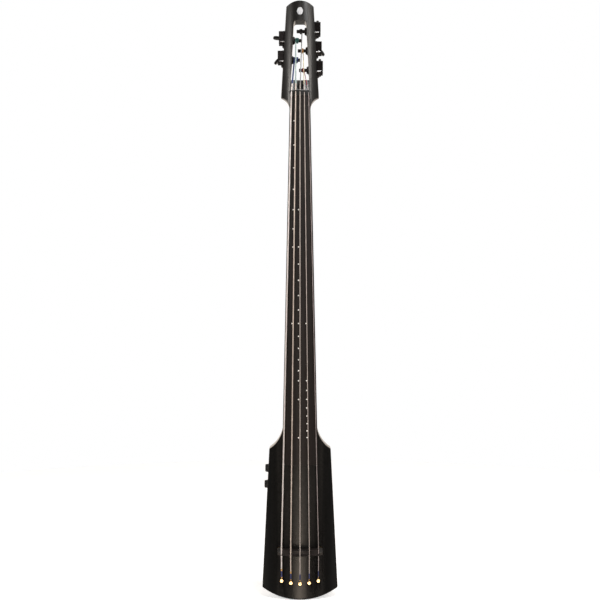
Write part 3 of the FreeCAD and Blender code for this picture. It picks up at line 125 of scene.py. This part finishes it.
def make_light(name, place, target, width, height, power, colour):
    light = bpy.data.lights.new(name, "AREA")
    light.shape = "ELLIPSE"
    light.size = width
    light.size_y = height
    light.energy = power
    light.color = colour
    lamp = bpy.data.objects.new(name, light)
    lamp.location = place
    lamp.rotation_euler = (Vector(target) - Vector(place)).to_track_quat("-Z", "Y").to_euler()
    bpy.context.scene.collection.objects.link(lamp)


def make_studio():
    """White all round for the camera. The object sees grey bands, which its reflections show."""
    world = bpy.data.worlds.new("studio")
    bpy.context.scene.world = world
    world.use_nodes = True
    tree = world.node_tree
    around = tree.nodes["Background"]
    around.inputs["Strength"].default_value = SURROUND_STRENGTH
    direction = tree.nodes.new("ShaderNodeSeparateXYZ")
    coordinates = tree.nodes.new("ShaderNodeTexCoord")
    tree.links.new(coordinates.outputs["Generated"], direction.inputs["Vector"])

    def band(axis, stops):
        """Grey level by how far a direction leans along one axis, from -1 to 1."""
        lean = tree.nodes.new("ShaderNodeMapRange")
        lean.inputs["From Min"].default_value = -1
        tree.links.new(direction.outputs[axis], lean.inputs["Value"])
        level = tree.nodes.new("ShaderNodeValToRGB")
        marks = level.color_ramp.elements
        while len(marks) < len(stops):
            marks.new(0.5)
        for mark, (place, grey) in zip(marks, stops):
            mark.position = (place + 1) / 2
            mark.color = (grey, grey * 0.94, grey * 0.88, 1)
        tree.links.new(lean.outputs["Result"], level.inputs["Fac"])
        return level.outputs["Color"]

    def blended(kind, one, other):
        mix = tree.nodes.new("ShaderNodeMix")
        mix.data_type = "RGBA"
        mix.blend_type = kind
        mix.inputs[MIX_FACTOR].default_value = 1
        tree.links.new(one, mix.inputs[MIX_ONE])
        tree.links.new(other, mix.inputs[MIX_OTHER])
        return mix.outputs[MIX_RESULT]

    paper = blended("MULTIPLY", band("Y", BEHIND), band("Z", ABOVE))
    low = blended("LIGHTEN", band("Y", SIDES), band("Z", BELOW))
    tree.links.new(blended("LIGHTEN", paper, low), around.inputs["Color"])
    backdrop = tree.nodes.new("ShaderNodeBackground")
    backdrop.inputs["Color"].default_value = (1, 1, 1, 1)
    path = tree.nodes.new("ShaderNodeLightPath")
    mix = tree.nodes.new("ShaderNodeMixShader")
    tree.links.new(path.outputs["Is Camera Ray"], mix.inputs["Fac"])
    tree.links.new(around.outputs["Background"], mix.inputs[1])
    tree.links.new(backdrop.outputs["Background"], mix.inputs[2])
    tree.links.new(mix.outputs["Shader"], tree.nodes["World Output"].inputs["Surface"])
    bpy.context.scene.view_settings.view_transform = "Standard"
    for lamp in LAMPS:
        make_light(*lamp)


def make_floor(material):
    """A round floor under the object. It casts no shadow, or it would block the belly lamps."""
    low_z = cad_box[0][2]
    mesh = bpy.data.meshes.new("floor")
    turns = [2 * math.pi * i / FLOOR_SIDES for i in range(FLOOR_SIDES)]
    ring = [(FLOOR_RADIUS * math.cos(a), FLOOR_RADIUS * math.sin(a), low_z) for a in turns]
    mesh.from_pydata(ring, [], [range(FLOOR_SIDES)])
    floor = bpy.data.objects.new("floor", mesh)
    bpy.context.scene.collection.objects.link(floor)
    mesh.materials.append(material)
    floor.visible_glossy = False
    floor.visible_shadow = False


# ---------------------------------------------------------------- materials


class Recipe:
    """A material under construction: a Principled shader and short ways to feed its sockets."""

    def __init__(self, name, colour, settings):
        self.material = bpy.data.materials.new(name)
        self.material.use_nodes = True
        self.tree = self.material.node_tree
        self.shader = self.tree.nodes["Principled BSDF"]
        self.shader.inputs["Base Color"].default_value = (*colour, 1)
        self.colour = colour
        for socket, value in settings.items():
            self.shader.inputs[socket].default_value = value
        self.height = None

    def node(self, kind, inputs=None, **settings):
        made = self.tree.nodes.new("ShaderNode" + kind)
        for key, value in settings.items():
            setattr(made, key, value)
        for socket, value in (inputs or {}).items():
            if isinstance(value, bpy.types.NodeSocket):
                self.tree.links.new(value, made.inputs[socket])
            else:
                made.inputs[socket].default_value = value
        return made

    def place(self, stretch=(1, 1, 1)):
        coordinates = self.node("TexCoord")
        mapping = self.node("Mapping", {"Vector": coordinates.outputs["Object"], "Scale": stretch})
        return mapping.outputs["Vector"]

    def noise(self, scale, detail, stretch=(1, 1, 1), roughness=0.5):
        made = self.node("TexNoise", {
            "Vector": self.place(stretch), "Scale": scale, "Detail": detail, "Roughness": roughness,
        })
        return made.outputs["Fac"]

    def ramp(self, factor, stops):
        made = self.node("ValToRGB", {"Fac": factor})
        marks = made.color_ramp.elements
        while len(marks) < len(stops):
            marks.new(0.5)
        for mark, (place, colour) in zip(marks, stops):
            mark.position = place
            mark.color = (*colour, 1)
        return made.outputs["Color"]

    def grey(self, factor, low_at, low, high_at, high):
        """A factor turned into a value that runs from low to high between two places."""
        made = self.node("MapRange", {
            "Value": factor, "From Min": low_at, "From Max": high_at, "To Min": low, "To Max": high,
        })
        return made.outputs["Result"]

    def mix(self, factor, one, other):
        made = self.node("Mix", data_type="RGBA")
        for socket, value in ((MIX_FACTOR, factor), (MIX_ONE, one), (MIX_OTHER, other)):
            if isinstance(value, bpy.types.NodeSocket):
                self.tree.links.new(value, made.inputs[socket])
            else:
                made.inputs[socket].default_value = value if socket == MIX_FACTOR else (*value, 1)
        return made.outputs[MIX_RESULT]

    def feed(self, socket, value):
        self.tree.links.new(value, self.shader.inputs[socket])

    def roughness(self, factor, low, high):
        """Roughness that drifts from low to high with a noise."""
        self.feed("Roughness", self.grey(factor, 0.3, low, 0.7, high))

    def bump(self, height, depth, strength):
        """Stack a relief, given in metres, on the ones before it."""
        made = self.node("Bump", {"Height": height, "Distance": depth, "Strength": strength})
        if self.height:
            self.tree.links.new(self.height, made.inputs["Normal"])
        self.height = made.outputs["Normal"]
        self.tree.links.new(self.height, self.shader.inputs["Normal"])

    def tint(self, spread, scale, stretch=(1, 1, 1)):
        """Let the colour drift either side of its own value."""
        dark = tuple(c * (1 - spread) for c in self.colour)
        light = tuple(min(1, c * (1 + spread)) for c in self.colour)
        return self.ramp(self.noise(scale, 4, stretch), [(0.3, dark), (0.7, light)])

    def wear(self, colour, edge_colour, amount):
        """Rubbed edges: convex edges lighten, unevenly."""
        geometry = self.node("NewGeometry")
        edge = self.grey(geometry.outputs["Pointiness"], 0.505, 0, 0.56, amount)
        patch = self.node("Math", {0: edge, 1: self.noise(220, 4)}, operation="MULTIPLY")
        self.feed("Base Color", self.mix(patch.outputs[0], colour, edge_colour))


def lacquer(name, colour, rough, ior=1.5, coat=0.35):
    """Black satin finish over a solid body: faint orange peel, dust-fine haze, soft rubs."""
    r = Recipe(name, colour, {"IOR": ior, "Coat Weight": coat, "Coat Roughness": 0.22})
    r.wear(r.tint(0.22, 9), (0.05, 0.045, 0.04), 0.5)
    r.roughness(r.noise(14, 5, (1, 1, 0.25)), rough - 0.05, rough + 0.07)
    r.bump(r.noise(420, 2), 0.00002, 0.5)
    r.bump(r.noise(38, 2), 0.00006, 0.35)
    return r.material


def dark_wood(name, light, dark, rough, grain=(1, 1, 0.035)):
    """Open-pored dark hardwood with its grain along the neck."""
    r = Recipe(name, light, {"IOR": 1.37})
    streaks = r.noise(150, 6, grain, 0.62)
    bands = r.noise(34, 3, (1, 1, 0.06))
    body = r.ramp(streaks, [(0.34, dark), (0.55, light), (0.72, tuple(c * 1.35 for c in light))])
    shade = r.mix(0.38, body, r.ramp(bands, [(0.35, dark), (0.65, light)]))
    pores = r.noise(900, 3, (1, 1, 0.03), 0.7)
    r.feed("Base Color", r.mix(r.grey(pores, 0.58, 0, 0.72, 0.7), shade, tuple(c * 0.45 for c in dark)))
    r.roughness(streaks, rough + 0.08, rough - 0.06)
    r.bump(pores, 0.00008, 0.6)
    r.bump(streaks, 0.00005, 0.5)
    return r.material


def metal(name, colour, rough, lines=0.0, stretch=(1, 1, 1), metallic=1.0, edge=None, ior=1.5):
    """Plain or plated metal, with fine turning or brushing lines and handling marks."""
    r = Recipe(name, colour, {"Metallic": metallic, "IOR": ior})
    r.wear(r.tint(0.14, 60), edge or tuple(min(1, c * 1.5 + 0.05) for c in colour), 0.6)
    r.roughness(r.noise(240, 4), rough - 0.06, rough + 0.09)
    if lines:
        r.bump(r.noise(1500, 2, stretch), lines, 0.6)
    r.bump(r.noise(500, 3), 0.00001, 0.5)
    return r.material


def moulded(name, colour, rough, grain_depth=0.00003):
    """Moulded plastic with an even fine texture."""
    r = Recipe(name, colour, {"IOR": 1.46})
    r.wear(r.tint(0.12, 70), tuple(c * 1.8 + 0.02 for c in colour), 0.55)
    r.roughness(r.noise(160, 4), rough - 0.05, rough + 0.07)
    cells = r.node("TexVoronoi", {"Vector": r.place(), "Scale": 1300.0})
    r.bump(cells.outputs["Distance"], grain_depth, 0.5)
    return r.material


def winding(name, colour, rough, pitch, depth, metallic, fleck=0.15):
    """Tape or thread wound round a string: one relief line per turn, by the length along the string."""
    r = Recipe(name, colour, {"Metallic": metallic, "IOR": 1.5})
    if not metallic:
        r.shader.inputs["Sheen Weight"].default_value = 0.12
    r.feed("Base Color", r.tint(fleck, 260, (1, 1, 0.35)))
    lengthwise = r.node("SeparateXYZ", {"Vector": r.node("TexCoord").outputs["UV"]})
    turn = r.node("Math", {0: lengthwise.outputs["Y"], 1: 1 / pitch}, operation="MULTIPLY")
    slant = r.node("Math", {0: turn.outputs[0], 1: lengthwise.outputs["X"]}, operation="ADD")
    wave = r.node("Math", {0: slant.outputs[0], 1: 1.0}, operation="PINGPONG")
    r.bump(wave.outputs[0], depth, 0.7)
    r.roughness(r.noise(300, 4), rough - 0.05, rough + 0.1)
    return r.material


def pearl(name):
    r = Recipe(name, (0.56, 0.57, 0.60), {"IOR": 1.55, "Coat Weight": 0.8, "Coat Roughness": 0.08})
    swirl = r.node("TexNoise", {
        "Vector": r.place((1, 1, 0.6)), "Scale": 120.0, "Detail": 5.0, "Distortion": 1.6,
    }).outputs["Fac"]
    r.feed("Base Color", r.ramp(swirl, [
        (0.28, (0.36, 0.38, 0.42)), (0.48, (0.64, 0.64, 0.66)),
        (0.62, (0.52, 0.58, 0.60)), (0.78, (0.78, 0.76, 0.76)),
    ]))
    r.roughness(swirl, 0.18, 0.36)
    r.bump(swirl, 0.00002, 0.3)
    return r.material


def pale_floor():
    r = Recipe("floor_paper", (0.86, 0.86, 0.86), {
        "Roughness": 0.9, "Emission Color": (1, 1, 1, 1), "Emission Strength": 0.62,
    })
    r.feed("Base Color", r.tint(0.01, 3))
    return r.material


BLACK = (0.0011, 0.00105, 0.0010)
# each string's steel keeps its own grey-warm tint, but it is made lighter or darker string by string to
# stand in for how light falls on it: painted light and shade
STEELS_WITH_PAINTED_SHADE = [
    winding(f"string_steel_{number + 1}", colour, 0.42, 0.55 * MM, 0.00002, metallic=0.5)
    for number, colour in enumerate((
        (0.84, 0.77, 0.74), (0.72, 0.605, 0.53), (0.54, 0.475, 0.44),
        (0.58, 0.50, 0.465), (0.48, 0.41, 0.405),
    ))
]
M = {
    "string_steel": STEELS_WITH_PAINTED_SHADE[0],
    "satin_black": lacquer("satin_black", BLACK, 0.30, 1.31, 0.22),
    "neck_black": lacquer("neck_black", (0.0018, 0.0017, 0.0016), 0.33),
    "board": dark_wood("board_wood", (0.0150, 0.0105, 0.0090), (0.0072, 0.0054, 0.0048), 0.46),
    "dot_white": moulded("dot_white", (0.80, 0.78, 0.74), 0.3),
    "nut_black": moulded("nut_black", (0.007, 0.007, 0.007), 0.35),
    "steel": metal("steel", (0.50, 0.50, 0.51), 0.3, 0.00001, (1, 0.05, 1)),
    "inlay": pearl("inlay_pearl"),
    "brass": metal("brass", (0.88, 0.64, 0.35), 0.2, 0.00001, (1, 1, 0.1), edge=(0.95, 0.76, 0.48)),
    "tuner_black": metal(
        "tuner_black", (0.0040, 0.0026, 0.0025), 0.33, metallic=0.1, edge=(0.08, 0.07, 0.07), ior=1.22,
    ),
    "key_black": metal(
        "key_black", (0.0065, 0.0055, 0.0052), 0.32, metallic=0.2, edge=(0.10, 0.095, 0.095), ior=1.36,
    ),
    "bronze_gear": metal("bronze_gear", (0.55, 0.36, 0.16), 0.32, 0.00001, (0.1, 1, 1)),
    "bridge_black": dark_wood(
        "bridge_wood", (0.020, 0.0145, 0.0130), (0.010, 0.0075, 0.0068), 0.42, (0.05, 1, 1),
    ),
    "screw_black": metal(
        "screw_black", (0.012, 0.012, 0.0125), 0.5, metallic=0.3, edge=(0.12, 0.12, 0.12),
    ),
    "knob_black": moulded("knob_black", (0.011, 0.011, 0.0115), 0.4),
    "cover_black": moulded("cover_black", (0.012, 0.012, 0.0125), 0.5, 0.00006),
    "pot_metal": metal("pot_metal", (0.55, 0.55, 0.56), 0.36),
    "wire": moulded("wire", (0.02, 0.02, 0.022), 0.5),
    "piezo": metal("piezo", (0.62, 0.46, 0.22), 0.35),
}


def silk(name, colour, rough, fleck):
    return winding(name, colour, rough, 0.28 * MM, 0.00006, metallic=0.0, fleck=fleck)


SILKS = [
    silk(f"silk_{name}", colour, 0.62, 0.35)
    for name, colour in (
        ("navy", (0.012, 0.034, 0.16)), ("teal", (0.020, 0.13, 0.11)),
        ("charcoal", (0.028, 0.027, 0.030)), ("amber", (0.62, 0.27, 0.06)),
        ("crimson", (0.34, 0.016, 0.035)),
    )
]
TAIL_SILK = silk("silk_tail", (0.030, 0.034, 0.13), 0.62, 0.35)
# strings whose one silk gets two colours: a paler copy on the straight run and a darker one on the coil
# round the post, that is painted light and painted shade
PAINTED_LIGHT_SILK_RUNS = {
    index: silk(f"silk_painted_light_{index + 1}", colour, 0.6, 0.4)
    for index, colour in ((1, (0.36, 0.47, 0.45)), (2, (0.24, 0.235, 0.24)), (3, (0.86, 0.68, 0.44)))
}
GOLD_BAND = winding("gold_band", (0.78, 0.44, 0.14), 0.34, 0.4 * MM, 0.00003, metallic=0.5)

# ---------------------------------------------------------------- pieces from CAD nodes


def finish_mesh(mesh, crease=34):
    mesh.shade_smooth()
    mesh.set_sharp_from_angle(angle=math.radians(crease))


def new_piece(name, mesh, body, nodes=()):
    piece = bpy.data.objects.new(name, mesh)
    bpy.context.scene.collection.objects.link(piece)
    if nodes:
        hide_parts(*nodes)
    if body:
        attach(piece, body)
    return piece


def dress(node):
    """A CAD node that stays as it is, in its own slot's material."""
    slots = NODES[node].data.materials
    slots.clear()
    slots.append(M[SLOT_OF[node]])


def apply_modifiers(piece):
    graph = bpy.context.evaluated_depsgraph_get()
    mesh = bpy.data.meshes.new_from_object(piece.evaluated_get(graph))
    piece.modifiers.clear()
    piece.data = mesh


FLAT_ANGLE = math.radians(0.25)
HARD_ANGLE = math.radians(30)
SNAP_SHARE = 0.6
WELD = 1e-6


def round_over(bm, width, segments):
    """Bevel every hard edge, then put back on the surface whatever the bevel moved too far off it.
    The result isn't tested here: on small parts it leaves folded and reversed faces."""
    surface = BVHTree.FromBMesh(bm)
    bmesh.ops.dissolve_limit(bm, angle_limit=FLAT_ANGLE, verts=bm.verts, edges=bm.edges)
    hard = [e for e in bm.edges if len(e.link_faces) == 2 and e.calc_face_angle(0) > HARD_ANGLE]
    bmesh.ops.bevel(
        bm, geom=hard, offset=width, offset_type="OFFSET", segments=segments, profile=0.5,
        affect="EDGES", clamp_overlap=False, miter_outer="ARC",
    )
    for vertex in bm.verts:
        near, _, _, distance = surface.find_nearest(vertex.co)
        if distance > SNAP_SHARE * width:
            vertex.co = near


def soften(node, width):
    """A CAD node's own shape with its hard edges rounded. A width of 0 keeps its faces as they are."""
    bm = bmesh.new()
    bm.from_mesh(NODES[node].data)
    bmesh.ops.remove_doubles(bm, verts=bm.verts, dist=WELD)
    if width:
        round_over(bm, width, 5 if width > WIDE_ROUND else 3)
    bmesh.ops.recalc_face_normals(bm, faces=bm.faces)
    mesh = bpy.data.meshes.new(node + "_finish")
    bm.to_mesh(mesh)
    bm.free()
    old_normals = mesh.attributes.get("custom_normal")
    if old_normals:
        mesh.attributes.remove(old_normals)
    mesh.materials.clear()
    mesh.materials.append(M[SLOT_OF[node]])
    finish_mesh(mesh)
    piece = new_piece(node + "_finish", mesh, None, (node,))
    weighted = piece.modifiers.new("weighted", "WEIGHTED_NORMAL")
    weighted.keep_sharp = True
    apply_modifiers(piece)
    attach(piece, BODY_OF[node])


def clusters(node, gap):
    """Boxes of a node's separate solids, told apart by gaps along X, from left to right."""
    points = np.array([v.co for v in NODES[node].data.vertices])
    points = points[np.argsort(points[:, 0])]
    breaks = np.where(np.diff(points[:, 0]) > gap)[0] + 1
    return [(Vector(part.min(0)), Vector(part.max(0))) for part in np.split(points, breaks)]


# ---------------------------------------------------------------- swept tubes, for the strings


CORNER_STEPS = 8
LATHE_STEPS = 48


def rounded_path(points, reach, step):
    """A taut string's line, with each bend made a short curve and the straight runs divided."""
    path = [points[0]]
    for before, corner, after in zip(points, points[1:], points[2:]):
        start = corner + (before - corner).normalized() * reach
        end = corner + (after - corner).normalized() * reach
        for k in range(CORNER_STEPS + 1):
            share = k / CORNER_STEPS
            path.append(start.lerp(corner, share).lerp(corner.lerp(end, share), share))
    path.append(points[-1])
    fine = [path[0]]
    for a, b in zip(path, path[1:]):
        pieces = max(1, math.ceil((b - a).length / step))
        fine += [a.lerp(b, k / pieces) for k in range(1, pieces + 1)]
    return fine


def tube(name, path, radius_at, materials, material_at, sides):
    """A round tube along a path. radius_at and material_at take the length from the path's start.
    Its UV map holds the turn round the tube and the length along it, in metres."""
    vertices, faces, uvs, zones = [], [], [], []
    lengths = [0.0]
    for a, b in zip(path, path[1:]):
        lengths.append(lengths[-1] + (b - a).length)
    tangent = (path[1] - path[0]).normalized()
    normal = tangent.orthogonal().normalized()
    for i, point in enumerate(path):
        ahead = path[min(i + 1, len(path) - 1)]
        behind = path[max(i - 1, 0)]
        new_tangent = (ahead - behind).normalized()
        normal = tangent.rotation_difference(new_tangent) @ normal
        tangent = new_tangent
        side = tangent.cross(normal)
        radius = radius_at(lengths[i])
        for k in range(sides):
            angle = 2 * math.pi * k / sides
            vertices.append(point + (normal * math.cos(angle) + side * math.sin(angle)) * radius)
    for i in range(len(path) - 1):
        zone = material_at((lengths[i] + lengths[i + 1]) / 2)
        for k in range(sides):
            n = (k + 1) % sides
            faces.append((i * sides + k, i * sides + n, (i + 1) * sides + n, (i + 1) * sides + k))
            u0, u1 = k / sides, (k + 1) / sides
            uvs += [(u0, lengths[i]), (u1, lengths[i]), (u1, lengths[i + 1]), (u0, lengths[i + 1])]
            zones.append(zone)
    for ring in (range(sides - 1, -1, -1), range((len(path) - 1) * sides, len(path) * sides)):
        faces.append(tuple(ring))
        uvs += [(0.0, 0.0)] * sides
        zones.append(zones[0] if ring[0] < sides else zones[-1])
    mesh = bpy.data.meshes.new(name)
    mesh.from_pydata(vertices, [], faces)
    layer = mesh.uv_layers.new(name="length")
    layer.data.foreach_set("uv", [value for uv in uvs for value in uv])
    for material in materials:
        mesh.materials.append(material)
    mesh.polygons.foreach_set("material_index", zones)
    finish_mesh(mesh, 50)
    return mesh


def lathe(name, profile, centre, axis, material):
    """A profile of (distance from axis, place along axis) turned about an axis through centre."""
    turn = Vector((0, 0, 1)).rotation_difference(Vector(axis)).to_matrix()
    vertices, faces = [], []
    for i in range(LATHE_STEPS):
        angle = 2 * math.pi * i / LATHE_STEPS
        for radius, height in profile:
            local = Vector((radius * math.cos(angle), radius * math.sin(angle), height))
            vertices.append(Vector(centre) + turn @ local)
    count = len(profile)
    for i in range(LATHE_STEPS):
        j = (i + 1) % LATHE_STEPS
        for k in range(count):
            m = (k + 1) % count
            faces.append((i * count + k, j * count + k, j * count + m, i * count + m))
    mesh = bpy.data.meshes.new(name)
    mesh.from_pydata(vertices, [], faces)
    bm = bmesh.new()
    bm.from_mesh(mesh)
    bmesh.ops.remove_doubles(bm, verts=bm.verts, dist=1e-7)
    bmesh.ops.recalc_face_normals(bm, faces=bm.faces)
    bm.to_mesh(mesh)
    bm.free()
    mesh.materials.append(material)
    finish_mesh(mesh, 30)
    return mesh


# ---------------------------------------------------------------- strings

SILK_START = 1002 * MM
WRAP_GAP = 0.05 * MM
WRAP_STEPS = 110
BANDED_STRINGS = 2
BALL_REACH = 3.9 * MM
LOOP_RADIUS = 3.75 * MM
LOOP_STEPS = 48
# how far before the ball end the gold band, the silk and the bare core start
BAND_LENGTH, TAIL_SILK_LENGTH, CORE_LENGTH = 27 * MM, 21 * MM, 5 * MM


def span_near(node, z, reach):
    """The box of a node's vertices within reach of height z."""
    points = [v.co for v in NODES[node].data.vertices if abs(v.co.z - z) < reach]
    low = Vector([min(p[k] for p in points) for k in range(3)])
    high = Vector([max(p[k] for p in points) for k in range(3)])
    return low, high


def string_axis(node, z):
    """Centre and diameter of a string where it bends, at height z."""
    low, high = span_near(node, z, 0.6 * MM)
    middle = (low + high) / 2
    return Vector((middle.x, middle.y, z)), high.x - low.x


def make_string(index, ball_centre):
    """One string: silk at the post, the speaking length, the tail and its loop at the ball end."""
    name = f"string_{index + 1}"
    nut_low, nut_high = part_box("nut")
    bridge_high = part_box("bridge")[1]
    post_low, post_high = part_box(f"tuner_post_{index + 1}")
    post = (post_low + post_high) / 2
    side = math.copysign(1, post.x)
    at_nut, diameter = string_axis(name, nut_low.z + 5 * MM)
    at_saddle, _ = string_axis(name, bridge_high.z - 4 * MM)
    radius = diameter / 2
    post_radius = (post_high.z - post_low.z) / 2
    wrap_low, wrap_high = span_near(name, post.z, post_radius + diameter + 1 * MM)
    turns = (wrap_high.x - wrap_low.x) / diameter - 0.25

    # the coil starts at the tangent point facing the nut and works towards the end of the post
    around = post_radius + radius + WRAP_GAP
    across, rise = at_nut.y - post.y, at_nut.z - post.z
    spread = math.acos(around / math.hypot(across, rise))
    heading = math.atan2(rise, across)
    meeting = min((heading - spread, heading + spread), key=math.cos)
    pitch = diameter * 1.04
    middle_x = (wrap_low.x + wrap_high.x) / 2
    first_x = middle_x + side * pitch * turns / 2
    coil = []
    for k in range(WRAP_STEPS + 1):
        share = k / WRAP_STEPS
        angle = meeting - share * turns * 2 * math.pi
        coil.append(Vector((
            first_x - side * pitch * turns * share,
            post.y + around * math.cos(angle), post.z + around * math.sin(angle),
        )))
    coil.append(coil[-1].lerp(Vector((coil[-1].x, post.y, post.z)), 0.6))
    head_path = rounded_path([at_nut, coil[0]], 2 * MM, 6 * MM) + coil[1:]
    bare = SILK_START - nut_high.z
    coil_at = (coil[0] - at_nut).length - 6 * MM

    def head_zone(length):
        return (length > bare) + (length > coil_at)

    # the straight silk run takes the paler painted-light copy of its silk, where one is listed
    head = tube(
        name + "_head", head_path, lambda length: radius * (1.0 if length < bare else 1.06),
        [STEELS_WITH_PAINTED_SHADE[index], PAINTED_LIGHT_SILK_RUNS.get(index, SILKS[index]), SILKS[index]], head_zone, 18,
    )
    new_piece(name + "_head", head, "root")

    start = at_nut + (coil[0] - at_nut).normalized() * 3 * MM
    path = rounded_path([start, at_nut, at_saddle], 2.5 * MM, 14 * MM)
    speaking = tube(
        name + "_speaking", path, lambda length: radius, [STEELS_WITH_PAINTED_SHADE[index]], lambda length: 0, 24,
    )
    piece = new_piece(name + "_speaking", speaking, None, (name,))
    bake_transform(piece)

    # tail: wound string, gold band, silk, then the bare core that loops round the ball end
    ball_top = ball_centre + Vector((0, 0, BALL_REACH))
    before = at_saddle + (at_nut - at_saddle).normalized() * 4 * MM
    tail_path = rounded_path([before, at_saddle, ball_top], 3 * MM, 2 * MM)
    total = sum((b - a).length for a, b in zip(tail_path, tail_path[1:]))
    marks = [total - BAND_LENGTH, total - TAIL_SILK_LENGTH, total - CORE_LENGTH]
    banded = index < BANDED_STRINGS

    def zone(length):
        return sum(length > mark for mark in marks)

    def thickness(length):
        return radius * (1.0, 1.16 if banded else 1.0, 1.08, 0.9)[zone(length)]

    tail = tube(
        name + "_tail", tail_path, thickness,
        [STEELS_WITH_PAINTED_SHADE[index], GOLD_BAND if banded else STEELS_WITH_PAINTED_SHADE[index], TAIL_SILK, GOLD_BAND], zone, 20,
    )
    piece = new_piece(name + "_tail", tail, None)
    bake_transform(piece)
    loop = [
        ball_centre + Vector((LOOP_RADIUS * math.sin(a), 0, LOOP_RADIUS * math.cos(a)))
        for a in (2 * math.pi * k / LOOP_STEPS for k in range(LOOP_STEPS + 1))
    ]
    ring = tube(name + "_loop", loop, lambda length: radius * 0.5, [GOLD_BAND], lambda length: 0, 12)
    new_piece(name + "_loop", ring, "root")


def make_ball_end(index, low, high):
    """A waisted brass spool with the wire's end closing its hole. Returns its centre."""
    centre = (low + high) / 2
    outer = (high.x - low.x) / 2
    half = (high.y - low.y) / 2
    waist = outer * 0.66
    hole = 1.7 * MM
    lip = 0.4 * MM
    rim = 1.2 * MM
    rounded_rim = [
        (outer - rim * (1 - math.sin(a)), -half + rim * (1 - math.cos(a)))
        for a in (math.radians(15 * k) for k in range(7))
    ]
    wire_end = [(0.0, -half + 0.12 * MM), (hole * 0.8, -half + 0.16 * MM), (hole, -half + 0.5 * MM)]
    front = wire_end + [(hole + lip / 2, -half)] + rounded_rim
    front += [(outer - lip, -half + 1.8 * MM), (waist, -half + 2.4 * MM)]
    profile = front + [(radius, -height) for radius, height in reversed(front)]
    mesh = lathe(f"ball_end_{index + 1}", profile, centre, (0, 1, 0), M["brass"])
    nodes = ("string_ball_ends",) if index == 0 else ()
    new_piece(f"ball_end_{index + 1}", mesh, "root", nodes)
    return centre


# ---------------------------------------------------------------- tuner strips

COVER_STEP = 1.7 * MM
STRIP_RISE = -4.2 * MM
STRIP_CORNER = 3.5 * MM
STRIP_BACK = 4 * MM
STRIP_SECTION = [(x * MM, z * MM) for x, z in (
    (-0.5, -1.1), (0.12, -1.1), (0.24, -0.95), (0.3, -0.6),
    (0.3, 0.6), (0.24, 0.95), (0.12, 1.1), (-0.5, 1.1),
)]


def make_strip(number):
    """The bright steel strip let into a tuner housing, round its front and outer faces."""
    low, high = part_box(f"tuner_housing_{number}")
    post_low, post_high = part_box(f"tuner_post_{number}")
    post = (post_low + post_high) / 2
    side = math.copysign(1, post.x)
    near, far = sorted((abs(low.x), abs(high.x)))
    outer = far - COVER_STEP
    outline = [Vector((near, low.y)), Vector((outer - STRIP_CORNER, low.y))]
    outline += [
        Vector((outer - STRIP_CORNER * (1 - math.sin(a)), low.y + STRIP_CORNER * (1 - math.cos(a))))
        for a in (math.radians(15 * k) for k in range(1, 6))
    ]
    outline += [Vector((outer, low.y + STRIP_CORNER)), Vector((outer, high.y - STRIP_BACK))]
    mesh = bpy.data.meshes.new(f"tuner_strip_{number}")
    bm = bmesh.new()
    rings = []
    for i, point in enumerate(outline):
        ahead, behind = outline[min(i + 1, len(outline) - 1)], outline[max(i - 1, 0)]
        run = (ahead - behind).normalized()
        out = Vector((run.y, -run.x))
        ring = []
        for offset, rise in STRIP_SECTION:
            at = point + out * offset
            ring.append(bm.verts.new((side * at.x, at.y, post.z + STRIP_RISE + rise)))
        rings.append(ring)
    count = len(STRIP_SECTION)
    for first, second in zip(rings, rings[1:]):
        for k in range(count):
            n = (k + 1) % count
            bm.faces.new((first[k], first[n], second[n], second[k]))
    bm.faces.new(rings[0])
    bm.faces.new(reversed(rings[-1]))
    bmesh.ops.recalc_face_normals(bm, faces=bm.faces)
    bm.to_mesh(mesh)
    bm.free()
    mesh.materials.append(M["steel"])
    finish_mesh(mesh, 40)
    new_piece(f"tuner_strip_{number}", mesh, "root")


# ---------------------------------------------------------------- the build

BALL_GAP = 5 * MM
# a rounding wider than this gets five segments, others three
WIDE_ROUND = 2 * MM
# how wide each softened node's edges are rounded; 0 keeps the CAD's own faces
SOFT = {
    "body": 0, "neck": 1.1 * MM, "fingerboard": 0.7 * MM, "nut": 0.5 * MM, "bridge": 0.8 * MM,
    "head_inlay": 0.15 * MM, "truss_rod_nut": 0.3 * MM, "cavity_cover": 0.35 * MM,
    "stand_plate": 0.5 * MM, "neck_bolts": 0.5 * MM, "output_jack": 0.3 * MM, "jack_nut": 0.4 * MM,
    "bridge_screw_bass": 0.45 * MM, "bridge_screw_treble": 0.45 * MM, "bridge_inserts": 0.3 * MM,
    "tuner_covers": 0.6 * MM, "tuner_bushings": 0.5 * MM, "tuner_screws": 0.35 * MM,
    "back_screws": 0.2 * MM, "volume_knob": 0.22 * MM, "tone_knob": 0.22 * MM, "pot_nuts": 0.3 * MM,
}
for number in range(1, 6):
    SOFT[f"tuner_housing_{number}"] = 0.8 * MM
    SOFT[f"tuner_key_{number}"] = 2.2 * MM
    SOFT[f"tuner_post_{number}"] = 0.5 * MM

make_camera()
make_studio()
make_floor(pale_floor())
for node in NODES:
    if node not in SOFT:
        dress(node)
for node, width in SOFT.items():
    soften(node, width)
balls = [make_ball_end(i, *ends) for i, ends in enumerate(clusters("string_ball_ends", BALL_GAP))]
for index, ball in enumerate(balls):
    make_string(index, ball)
    make_strip(index + 1)
